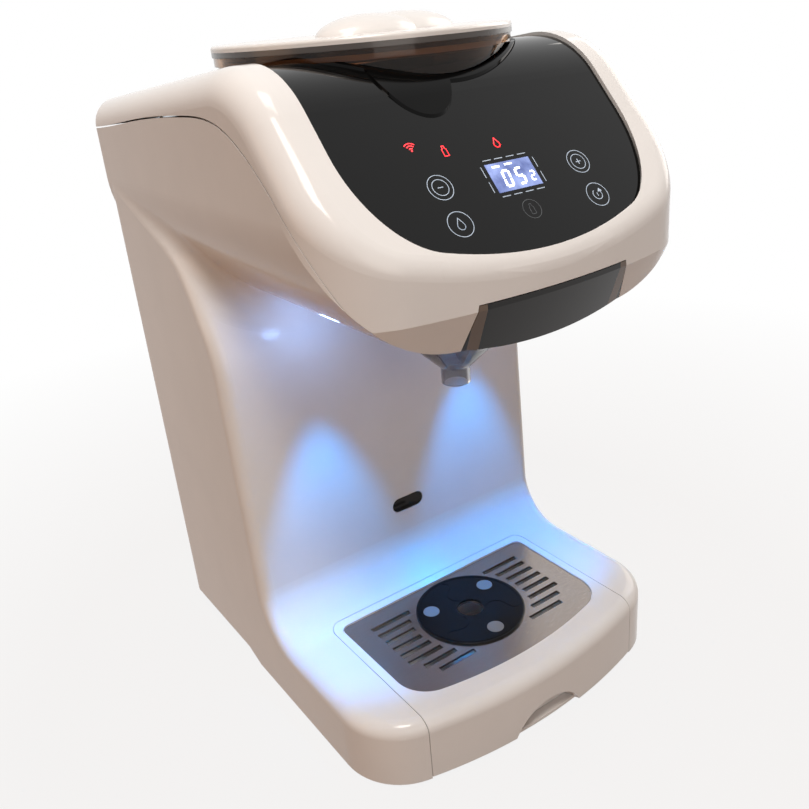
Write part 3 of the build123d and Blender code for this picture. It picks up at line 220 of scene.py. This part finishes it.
def circuit(name):
    """Green circuit board with lighter tracks."""
    material, tree_nodes, links, shader = new_material(name)
    place = tree_nodes.new("ShaderNodeTexCoord")
    tracks = tree_nodes.new("ShaderNodeTexBrick")
    tracks.inputs["Scale"].default_value = TRACK_SCALE
    tracks.inputs["Mortar Size"].default_value = TRACK_WIDTH
    for socket, green in BOARD_GREENS:
        tracks.inputs[socket].default_value = green
    links.new(place.outputs["Object"], tracks.inputs["Vector"])
    links.new(tracks.outputs["Color"], shader.inputs["Base Color"])
    shader.inputs["Roughness"].default_value = BOARD_ROUGHNESS
    return material


def banded(material, axis, stops, mirrored=False):
    """Shade a material in bands along an object axis: from each place (mm) on, times its own shade."""
    tree_nodes, links = material.node_tree.nodes, material.node_tree.links
    base = tree_nodes["Principled BSDF"].inputs["Base Color"]
    place = tree_nodes.new("ShaderNodeTexCoord")
    split = tree_nodes.new("ShaderNodeSeparateXYZ")
    links.new(place.outputs["Object"], split.inputs["Vector"])
    distance = split.outputs[axis]
    if mirrored:
        absolute = tree_nodes.new("ShaderNodeMath")
        absolute.operation = "ABSOLUTE"
        links.new(distance, absolute.inputs[0])
        distance = absolute.outputs["Value"]
    span = tree_nodes.new("ShaderNodeMapRange")
    span.inputs["From Max"].default_value = BAND_SPAN * MM
    links.new(distance, span.inputs["Value"])
    bands = tree_nodes.new("ShaderNodeValToRGB")
    bands.color_ramp.interpolation = "CONSTANT"
    elements = bands.color_ramp.elements
    while len(elements) < len(stops):
        elements.new(1.0)
    for element, (start, shade) in zip(elements, stops):
        element.position = start / BAND_SPAN
        element.color = (*shade, 1)
    links.new(span.outputs["Result"], bands.inputs["Fac"])
    blend = tree_nodes.new("ShaderNodeMix")
    blend.data_type = "RGBA"
    blend.blend_type = "MULTIPLY"
    blend.inputs["Factor"].default_value = 1.0
    links.new(base.links[0].from_socket, blend.inputs["A"])
    links.new(bands.outputs["Color"], blend.inputs["B"])
    links.new(blend.outputs["Result"], base)
    return material


SHELL_WHITE = (0.82, 0.80, 0.79)
COVER_BANDS = [(0, (0.05, 0.05, 0.05)), (38.4, (0.01, 0.01, 0.01)), (39.8, (1, 1, 1)),
               (45.8, (0.04, 0.04, 0.04))]
# painted shade: below 368.4 mm the lid is darkened to a dark brown, standing in for the shade under its rim
LID_PAINTED_SHADE_BANDS = [(0, (0.06, 0.045, 0.035)), (368.4, (1, 1, 1))]
looks = {
    "shell": moulded("shell_white", SHELL_WHITE, 0.13, peel=0.012, grain=420, ior=1.33),
    "panel": moulded("panel_black", (0.003, 0.003, 0.003), 0.03, spread=0.012, peel=0.004, ior=1.32),
    "collar": moulded("collar_black", (0.003, 0.003, 0.003), 0.10, spread=0.03, peel=0.01, ior=1.2),
    "cover": banded(moulded("cover_smoked", (0.15, 0.105, 0.075), 0.04, spread=0.02, peel=0.004, ior=1.38),
                    "X", COVER_BANDS, mirrored=True),
    "smoked": see_through("canister_smoked", (0.36, 0.21, 0.12), 0.03, ior=1.3),
    "funnel": see_through("funnel_smoked", (0.40, 0.39, 0.41), 0.04),
    "base_dark": moulded("base_dark", (0.03, 0.02, 0.014), 0.22),
    # the lid's lower band is painted shade
    "lid": banded(moulded("lid_pale", (0.80, 0.77, 0.75), 0.24, peel=0.02, coat=0.2), "Z", LID_PAINTED_SHADE_BANDS),
    "tank_lid": moulded("tank_lid_white", SHELL_WHITE, 0.24, peel=0.02, coat=0.2),
    "steel": metal("plate_steel", (0.38, 0.33, 0.30), 0.24, (1, 18, 1)),
    "puck": moulded("puck_black", (0.005, 0.005, 0.006), 0.22, spread=0.05, peel=0.03, ior=1.25),
    "pads": moulded("pads_grey", (0.17, 0.175, 0.19), 0.55, peel=0.06),
    "feet": moulded("foot_rubber", (0.02, 0.02, 0.02), 0.75, peel=0.15),
    "seal": moulded("seal_rubber", (0.55, 0.55, 0.55), 0.5, peel=0.05),
    "window": moulded("window_black", (0.005, 0.005, 0.006), 0.06, spread=0.02, peel=0.004),
    "lens": glowing("lamp_lens", (0.45, 0.68, 1.0), (0.75, 0.88, 1.0), 6.0),
    "dark": moulded("dark_plastic", (0.04, 0.04, 0.042), 0.45, peel=0.06),
    "frame": moulded("frame_plastic", (0.55, 0.54, 0.52), 0.45, peel=0.05),
    "gear": moulded("gear_plastic", (0.70, 0.68, 0.62), 0.38, peel=0.03),
    "board": circuit("board_green"),
    "display": moulded("display_dark", (0.02, 0.02, 0.03), 0.2),
    "motor": metal("motor_metal", (0.62, 0.61, 0.60), 0.32, (4, 4, 30)),
    "screw": metal("screw_steel", (0.55, 0.55, 0.56), 0.30, (8, 8, 8)),
    "tank": see_through("tank_clear", (0.86, 0.88, 0.90), 0.05),
    "hose": moulded("hose_silicone", (0.72, 0.73, 0.72), 0.4, peel=0.03),
}
dressing = {
    "shell": ["main_housing", "hood", "drip_tray", "bottom_plate"],
    "panel": ["control_panel"],
    "collar": ["canister_collar"],
    "cover": ["funnel_cover"],
    "smoked": ["canister_body"],
    "funnel": ["mixing_funnel"],
    "base_dark": ["canister_base"],
    "lid": ["canister_lid"],
    "tank_lid": ["tank_lid"],
    "steel": ["drip_plate"],
    "puck": ["drain_puck"],
    "pads": ["puck_pads"],
    "feet": ["feet"],
    "seal": ["lid_seal"],
    "window": ["sensor_window"],
    "lens": ["lamp_lenses"],
    "dark": ["power_inlet", "tank_socket", "pump", "tank_valve"],
    "frame": ["chassis_shelf", "funnel_guide", "funnel_carrier", "gear_cover", "powder_chute", "water_spout",
              "outlet_scraper"],
    "gear": ["drive_gear", "pinion", "dosing_wheel", "stirrer"],
    "board": ["touch_board", "sensor_board", "lamp_boards", "control_board", "power_supply"],
    "display": ["display_module"],
    "motor": ["powder_motor", "heater", "heater_bracket"],
    "screw": ["base_screws", "hinge_pin"],
    "tank": ["water_tank"],
    "hose": ["water_hoses"],
}
for look, names in dressing.items():
    for name in names:
        mesh = nodes[name].data
        mesh.materials.clear()
        mesh.materials.append(looks[look])

# ---------------------------------------------------------------- pieces in their finer form


def stand_for(piece, name):
    """Put a piece in the scene in place of a node, on the node's body."""
    bpy.context.scene.collection.objects.link(piece)
    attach(piece, next(body for body, members in bodies.items() if name in members))
    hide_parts(name)


def reshaped(name, move):
    """A copy of a node's mesh, with each corner moved by a function, in place of the node."""
    mesh = nodes[name].data.copy()
    for vertex in mesh.vertices:
        vertex.co = move(vertex.co)
    piece = bpy.data.objects.new(name + "_fine", mesh)
    stand_for(piece, name)
    return piece


PLATE_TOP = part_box("drip_plate")[1].z
PUCK_FLATNESS = 0.35


def flatten(corner):
    """The puck and its pads stand only a little above the steel plate."""
    x, y, z = corner
    return x, y, min(z, PLATE_TOP + (z - PLATE_TOP) * PUCK_FLATNESS)


SLOT_FIRST_Y, SLOT_PITCH, SLOT_COUNT, SLOT_WIDTH = -32.0, 7.7, 8, 2.7
SLOT_INNER_X, SLOT_OUTER_X, SLOT_WIDEN = 8.0, 60.0, 1.35
SLOT_REACH = 0.6 * SLOT_WIDTH


def widen_slots(corner):
    """The plate's slots open a little wider than they are in the plain plate."""
    x, y, z = corner
    index = round((SLOT_FIRST_Y - y / MM) / SLOT_PITCH)
    middle = (SLOT_FIRST_Y - index * SLOT_PITCH) * MM
    beside = abs(y - middle) < SLOT_REACH * MM and SLOT_INNER_X * MM < abs(x) < SLOT_OUTER_X * MM
    if beside and 0 <= index < SLOT_COUNT:
        y = middle + (y - middle) * SLOT_WIDEN
    return x, y, z


HOOD_SHARP = math.radians(38)


def smooth_hood():
    """The hood with its chin shaded as one smooth curve."""
    piece = reshaped("hood", lambda corner: corner)
    mesh = piece.data
    if "custom_normal" in mesh.attributes:
        mesh.attributes.remove(mesh.attributes["custom_normal"])
    for face in mesh.polygons:
        face.use_smooth = True
    mesh.set_sharp_from_angle(angle=HOOD_SHARP)


smooth_hood()
reshaped("drip_plate", widen_slots)
reshaped("drain_puck", flatten)
reshaped("puck_pads", flatten)

FUNNEL_Y = -55.0
FUNNEL_PROFILE = [(6.6, 193.8), (8.0, 193.8), (8.0, 203.2), (8.7, 203.2), (22.8, 217.0), (23.6, 217.0),
                  (38.0, 231.0), (38.0, 254.0), (42.0, 254.0), (42.0, 255.6), (38.0, 255.6), (38.0, 262.0),
                  (36.4, 262.0), (36.4, 231.6), (22.0, 218.4), (6.6, 204.0)]
FUNNEL_STEPS = 72
FUNNEL_SHARP = math.radians(28)


def turned(name, profile, centre_y, material):
    """A closed profile of (radius, height) pairs, turned round an upright axis."""
    mesh = bpy.data.meshes.new(name)
    work = bmesh.new()
    rings = []
    for step in range(FUNNEL_STEPS):
        angle = 2 * math.pi * step / FUNNEL_STEPS
        c, s = math.cos(angle), math.sin(angle)
        rings.append([work.verts.new((r * c * MM, (centre_y + r * s) * MM, z * MM)) for r, z in profile])
    for here, there in zip(rings, rings[1:] + rings[:1]):
        for index in range(len(profile)):
            after = (index + 1) % len(profile)
            work.faces.new((here[index], here[after], there[after], there[index]))
    bmesh.ops.recalc_face_normals(work, faces=work.faces)
    for face in work.faces:
        face.smooth = True
    work.to_mesh(mesh)
    work.free()
    mesh.set_sharp_from_angle(angle=FUNNEL_SHARP)
    mesh.materials.append(material)
    return bpy.data.objects.new(name, mesh)


stand_for(turned("mixing_funnel_fine", FUNNEL_PROFILE, FUNNEL_Y, looks["funnel"]), "mixing_funnel")

# ---------------------------------------------------------------- marks on the control panel

PANEL_SLOPE = math.radians(48.2)
# from the middle of the display module to the panel's face, and from the face to the print
PANEL_DEPTH, PRINT_LIFT = 5.5, 0.06
DROP_START, DROP_TURN, DROP_STEPS, DROP_TIP = 150, 240, 20, 2.1
SEGMENTS = {"0": "abcdef", "5": "acdfg", "2": "abdeg"}
SEGMENT_GAP = 0.6
FIGURE_LEAN = math.tan(math.radians(6))


def panel_frame():
    """Matrix of the panel's flat front: origin at the display's middle, X right, Y up the slope, Z out."""
    low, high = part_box("display_module")
    middle = (low + high) / 2
    outward = Vector((0, -math.sin(PANEL_SLOPE), math.cos(PANEL_SLOPE)))
    along = Vector((0, math.cos(PANEL_SLOPE), math.sin(PANEL_SLOPE)))
    origin = Vector((0, middle.y, middle.z)) + outward * (PANEL_DEPTH * MM + PRINT_LIFT * MM)
    turn = Matrix((Vector((1, 0, 0)), along, outward)).transposed().to_4x4()
    return Matrix.Translation(origin) @ turn


def flat_piece(name, shapes, place, material, body="machine"):
    """One mesh of flat polygons, in millimetres in the plane of place."""
    mesh = bpy.data.meshes.new(name)
    work = bmesh.new()
    for shape in shapes:
        work.faces.new([work.verts.new((x * MM, y * MM, 0)) for x, y in shape])
    work.to_mesh(mesh)
    work.free()
    mesh.materials.append(material)
    piece = bpy.data.objects.new(name, mesh)
    bpy.context.scene.collection.objects.link(piece)
    piece.matrix_world = place
    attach(piece, body)


def ring(x, y, outer, inner, start=0, end=360, steps=48):
    """Quads that make a ring, or a part of one between two angles."""
    angles = [math.radians(start + (end - start) * i / steps) for i in range(steps + 1)]
    quads = []
    for a, b in zip(angles, angles[1:]):
        quads.append([(x + inner * math.cos(a), y + inner * math.sin(a)),
                      (x + outer * math.cos(a), y + outer * math.sin(a)),
                      (x + outer * math.cos(b), y + outer * math.sin(b)),
                      (x + inner * math.cos(b), y + inner * math.sin(b))])
    return quads


def bar(x, y, length, height, turn=0):
    """A rectangle about its middle, turned by an angle."""
    c, s = math.cos(math.radians(turn)), math.sin(math.radians(turn))
    corners = [(-length / 2, -height / 2), (length / 2, -height / 2), (length / 2, height / 2),
               (-length / 2, height / 2)]
    return [(x + c * px - s * py, y + s * px + c * py) for px, py in corners]


def stroke(points, width):
    """Quads along a line of points."""
    quads = []
    for (ax, ay), (bx, by) in zip(points, points[1:]):
        length = math.hypot(bx - ax, by - ay)
        turn = math.degrees(math.atan2(by - ay, bx - ax))
        quads.append(bar((ax + bx) / 2, (ay + by) / 2, length + width, width, turn))
    return quads


def drop(x, y, radius):
    """Outline points of a water drop with its tip upwards."""
    angles = [math.radians(DROP_START + DROP_TURN * i / DROP_STEPS) for i in range(DROP_STEPS + 1)]
    points = [(x + radius * math.cos(a), y + radius * math.sin(a)) for a in angles]
    return points + [(x, y + DROP_TIP * radius), points[0]]


def digit(figure, x, y, width, height, thick):
    """Seven-segment figure about its middle, leaning a little to the right."""
    half_w, half_h = width / 2, height / 2
    gap = thick * SEGMENT_GAP
    spots = {"a": (0, half_h, width - gap, thick), "g": (0, 0, width - gap, thick),
             "d": (0, -half_h, width - gap, thick),
             "b": (half_w, half_h / 2, thick, half_h - gap),
             "c": (half_w, -half_h / 2, thick, half_h - gap),
             "f": (-half_w, half_h / 2, thick, half_h - gap),
             "e": (-half_w, -half_h / 2, thick, half_h - gap)}
    shapes = []
    for name in SEGMENTS[figure]:
        px, py, length, rise = spots[name]
        shapes.append([(x + qx + FIGURE_LEAN * qy, y + qy) for qx, qy in bar(px, py, length, rise)])
    return shapes


print_white = glowing("print_white", (0.30, 0.36, 0.44), (0.40, 0.46, 0.54), 0.55)
print_faint = glowing("print_faint", (0.05, 0.055, 0.06), (0.07, 0.075, 0.08), 0.3)
red_light = glowing("red_light", (0.9, 0.02, 0.03), (1.0, 0.05, 0.06), 2.2)
back_light = glowing("back_light", (0.03, 0.05, 0.18), (0.24, 0.31, 0.60), 0.9, scale=90)
digit_light = glowing("digit_light", (0.9, 0.95, 1.0), (1.0, 1.0, 1.0), 3.0)
place = panel_frame()

# touch marks: a ring of two circles above a ring of one, at each side of the display
LEFT_X, RIGHT_X = -40.0, 40.8
UPPER_ROW, LOWER_ROW = -0.4, -19.2
RIGHT_DROP = 1.9
RING_OUTER, RING_INNER, RING_LINE = 6.4, 4.2, 0.35
SIGN_LENGTH, SIGN_LINE = 3.0, 0.45
DROP_RADIUS, DROP_SINK = 1.9, 0.9
RESET_OUTER, RESET_INNER, RESET_START, RESET_END = 2.8, 2.4, 120, 400
RESET_BAR = (0.4, 2.0)
RESET_HEAD = [(0.9, 1.2), (3.6, 1.2), (2.3, 3.2)]
touch_marks = []
for x, sink in ((LEFT_X, 0.0), (RIGHT_X, RIGHT_DROP)):
    upper, lower = UPPER_ROW - sink, LOWER_ROW - sink
    touch_marks += ring(x, upper, RING_OUTER, RING_OUTER - RING_LINE)
    touch_marks += ring(x, upper, RING_INNER, RING_INNER - RING_LINE)
    touch_marks.append(bar(x, upper, SIGN_LENGTH, SIGN_LINE))
    touch_marks += ring(x, lower, RING_OUTER, RING_OUTER - RING_LINE)
plus_y, reset_y = UPPER_ROW - RIGHT_DROP, LOWER_ROW - RIGHT_DROP
touch_marks.append(bar(RIGHT_X, plus_y, SIGN_LINE, SIGN_LENGTH))
touch_marks += stroke(drop(LEFT_X, LOWER_ROW - DROP_SINK, DROP_RADIUS), RING_LINE)
touch_marks += ring(RIGHT_X, reset_y, RESET_OUTER, RESET_INNER, RESET_START, RESET_END)
touch_marks.append([(RIGHT_X + x, reset_y + y) for x, y in RESET_HEAD])
touch_marks.append(bar(RIGHT_X, reset_y, *RESET_BAR))
flat_piece("touch_marks", touch_marks, place, print_white)

# faint bottle in a ring, under the display
BOTTLE_OUTLINE = [(-1.2, -2.6), (-1.2, 0.8), (-0.6, 1.5), (-0.6, 2.6), (0.6, 2.6), (0.6, 1.5), (1.2, 0.8),
                  (1.2, -2.6), (-1.2, -2.6)]
MILK_Y = LOWER_ROW - 1.0
MILK_RING, MILK_LINE = (5.0, 4.7), 0.3
milk_mark = ring(0, MILK_Y, *MILK_RING)
milk_mark += stroke([(x, MILK_Y + y) for x, y in BOTTLE_OUTLINE], MILK_LINE)
flat_piece("milk_mark", milk_mark, place, print_faint)

# lit display: backlight, figures on it, and a printed frame of dashes round it
DISPLAY_SHIFT = Vector((0.8, -1.8, 0))
DISPLAY_SIZE = (26, 15)
LARGE_FIGURE, SMALL_FIGURE = (3.6, 8.0, 1.1), (2.2, 4.6, 0.7)
FIGURES = [("0", -4.4, -1.2, LARGE_FIGURE), ("5", 3.2, -1.2, LARGE_FIGURE),
           ("2", 10.0, -2.4, SMALL_FIGURE)]
TOP_BARS = [(-7.5, 5.6, 4.4, 0.9), (0.0, 5.9, 4.4, 0.9)]
DASH_LINE, DASH_WIDTH, DASH_HEIGHT = 0.4, 4.8, 5.6
DASH_COLUMNS, DASH_ROWS = (-10.2, -3.4, 3.4, 10.2), (-4.0, 4.0)
FRAME_HALF_WIDTH, FRAME_HALF_HEIGHT = 15.4, 9.6
shown = place @ Matrix.Translation(DISPLAY_SHIFT * MM)
flat_piece("display_backlight", [bar(0, 0, *DISPLAY_SIZE)], shown, back_light)
lifted = shown @ Matrix.Translation((0, 0, PRINT_LIFT * MM))
figures = [shape for figure, x, y, size in FIGURES for shape in digit(figure, x, y, *size)]
figures += [bar(*sizes) for sizes in TOP_BARS]
flat_piece("display_figures", figures, lifted, digit_light)
dashes = [bar(x, side * FRAME_HALF_HEIGHT, DASH_WIDTH, DASH_LINE)
          for x in DASH_COLUMNS for side in (1, -1)]
dashes += [bar(side * FRAME_HALF_WIDTH, y, DASH_LINE, DASH_HEIGHT)
           for y in DASH_ROWS for side in (-1, 1)]
flat_piece("display_frame", dashes, shown, print_white)

# red lights: radio waves, bottle, drop
WIFI, WIFI_RADII, WIFI_LINE, WIFI_DOT = (-44.0, 19.5), (1.5, 2.8, 4.1), 0.5, 0.5
WIFI_START, WIFI_END, WIFI_STEPS, DOT_STEPS = 45, 135, 14, 12
BOTTLE, BOTTLE_LINE = (-28.0, 16.5), 0.4
DROP, RED_DROP_RADIUS, RED_DROP_LINE = (1.0, 15.0), 1.6, 0.45
red_marks = []
for radius in WIFI_RADII:
    red_marks += ring(*WIFI, radius, radius - WIFI_LINE, WIFI_START, WIFI_END, WIFI_STEPS)
red_marks += ring(*WIFI, WIFI_DOT, 0, steps=DOT_STEPS)
red_marks += stroke([(BOTTLE[0] + x, BOTTLE[1] + y) for x, y in BOTTLE_OUTLINE], BOTTLE_LINE)
red_marks += stroke(drop(*DROP, RED_DROP_RADIUS), RED_DROP_LINE)
flat_piece("red_marks", red_marks, place, red_light)

# ---------------------------------------------------------------- lamps under the head

BEAM_COLOUR, BEAM_POWER = (0.01, 0.34, 1.0), 2.0
BEAM_CONE, BEAM_BLEND, BEAM_SOFTNESS, BEAM_DROP = 46.0, 0.6, 4, 1
GLOW_COLOUR, GLOW_POWER = (0.30, 0.50, 1.0), 0.035
GLOW_SOFTNESS, GLOW_DROP = 6, 9


def add_lamp(name, kind, place, power, colour):
    """A lamp of a kind at a place."""
    data = bpy.data.lights.new(name, kind)
    data.energy = power
    data.color = colour
    lamp = bpy.data.objects.new(name, data)
    lamp.location = place
    bpy.context.scene.collection.objects.link(lamp)
    return lamp


def lens_lamp(x, y, z):
    """The soft beam that shines down from one lens, and the glow round the lens."""
    beam = add_lamp("lens_lamp", "SPOT", (x, y, z), BEAM_POWER, BEAM_COLOUR).data
    beam.spot_size = math.radians(BEAM_CONE)
    beam.spot_blend = BEAM_BLEND
    beam.shadow_soft_size = BEAM_SOFTNESS * MM
    glow = add_lamp("lens_glow", "POINT", (x, y, z - GLOW_DROP * MM), GLOW_POWER, GLOW_COLOUR).data
    glow.shadow_soft_size = GLOW_SOFTNESS * MM


lens_low, lens_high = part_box("lamp_lenses")
lens_y = (lens_low.y + lens_high.y) / 2
lens_x = lens_high.x - (lens_high.y - lens_low.y) / 2
for side in (-1, 1):
    lens_lamp(side * lens_x, lens_y, lens_low.z - BEAM_DROP * MM)

# ---------------------------------------------------------------- studio

FLOOR_COLOUR, FLOOR_SHADE, FLOOR_GRAIN, FLOOR_ROUGHNESS = (0.21, 0.11, 0.055), 0.97, 3, 0.7
FLOOR_HALF, FLOOR_CELLS = 6, 8
WHITE = (1, 1, 1, 1)
# how white the seen floor is, near the object and from a distance on, so that the shadow stays
NEAR_REACH, NEAR_WHITENESS = 0.25, 0.87
FAR_REACH, FAR_WHITENESS = 0.75, 1.0
WORLD_COLOUR, WORLD_STRENGTH = (1.0, 0.87, 0.74, 1), 0.05
TARGET = Vector((0, -0.02, 0.2))
# name, place, side of the square, power, colour
STUDIO_LAMPS = [
    ("top", (-0.05, 0.0, 2.6), 0.8, 21, (1.0, 0.945, 0.89)),
    ("key", (-0.48, -0.74, 1.88), 0.5, 20, (1.0, 0.945, 0.89)),
    ("fill", (-0.3, -1.7, 0.75), 1.0, 6, (1.0, 0.93, 0.87)),
    ("left", (-1.6, 0.3, 0.5), 1.0, 3.2, (1.0, 0.52, 0.24)),
    ("right", (1.8, 0.35, 0.9), 1.2, 11, (1.0, 0.94, 0.88)),
]


def area_light(name, place, side, power, colour):
    """A square soft light that faces the machine."""
    lamp = add_lamp(name, "AREA", place, power, colour)
    lamp.data.size = side
    lamp.rotation_euler = (TARGET - Vector(place)).to_track_quat("-Z", "Y").to_euler()


def seen_rays(tree_nodes, links):
    """One for camera rays and for what gloss and clear plastic show, otherwise nought."""
    rays = tree_nodes.new("ShaderNodeLightPath")
    total = rays.outputs["Is Camera Ray"]
    for kind in ("Is Glossy Ray", "Is Transmission Ray"):
        largest = tree_nodes.new("ShaderNodeMath")
        largest.operation = "MAXIMUM"
        links.new(total, largest.inputs[0])
        links.new(rays.outputs[kind], largest.inputs[1])
        total = largest.outputs["Value"]
    return total


def make_floor():
    """A wide warm floor that is seen as white, keeps the soft shadow and fades to pure white."""
    material, tree_nodes, links, shader = new_material("floor_pale")
    shader.inputs["Roughness"].default_value = FLOOR_ROUGHNESS
    grain = noise(tree_nodes, links, FLOOR_GRAIN)
    shade = ramp(tree_nodes, links, grain, tone(FLOOR_COLOUR, FLOOR_SHADE), FLOOR_COLOUR)
    links.new(shade, shader.inputs["Base Color"])
    white = tree_nodes.new("ShaderNodeEmission")
    white.inputs["Color"].default_value = WHITE
    place = tree_nodes.new("ShaderNodeTexCoord")
    reach = tree_nodes.new("ShaderNodeVectorMath")
    reach.operation = "LENGTH"
    links.new(place.outputs["Object"], reach.inputs[0])
    whiteness = tree_nodes.new("ShaderNodeMapRange")
    whiteness.inputs["From Min"].default_value = NEAR_REACH
    whiteness.inputs["From Max"].default_value = FAR_REACH
    whiteness.inputs["To Min"].default_value = NEAR_WHITENESS
    whiteness.inputs["To Max"].default_value = FAR_WHITENESS
    links.new(reach.outputs["Value"], whiteness.inputs["Value"])
    share = tree_nodes.new("ShaderNodeMath")
    share.operation = "MULTIPLY"
    links.new(seen_rays(tree_nodes, links), share.inputs[0])
    links.new(whiteness.outputs["Result"], share.inputs[1])
    mix = tree_nodes.new("ShaderNodeMixShader")
    links.new(share.outputs["Value"], mix.inputs["Fac"])
    links.new(shader.outputs["BSDF"], mix.inputs[1])
    links.new(white.outputs["Emission"], mix.inputs[2])
    links.new(mix.outputs["Shader"], tree_nodes["Material Output"].inputs["Surface"])
    mesh = bpy.data.meshes.new("floor")
    work = bmesh.new()
    bmesh.ops.create_grid(work, x_segments=FLOOR_CELLS, y_segments=FLOOR_CELLS, size=FLOOR_HALF)
    work.to_mesh(mesh)
    work.free()
    mesh.materials.append(material)
    floor = bpy.data.objects.new("floor", mesh)
    bpy.context.scene.collection.objects.link(floor)


def make_world():
    """White where it is seen, a soft warm grey as light."""
    world = bpy.data.worlds.new("studio")
    bpy.context.scene.world = world
    world.use_nodes = True
    tree_nodes, links = world.node_tree.nodes, world.node_tree.links
    soft = tree_nodes["Background"]
    soft.inputs["Color"].default_value = WORLD_COLOUR
    soft.inputs["Strength"].default_value = WORLD_STRENGTH
    white = tree_nodes.new("ShaderNodeBackground")
    white.inputs["Color"].default_value = WHITE
    mix = tree_nodes.new("ShaderNodeMixShader")
    links.new(seen_rays(tree_nodes, links), mix.inputs["Fac"])
    links.new(soft.outputs["Background"], mix.inputs[1])
    links.new(white.outputs["Background"], mix.inputs[2])
    links.new(mix.outputs["Shader"], tree_nodes["World Output"].inputs["Surface"])


make_floor()
make_world()
for lamp in STUDIO_LAMPS:
    area_light(*lamp)
bpy.context.scene.view_settings.view_transform = "Standard"
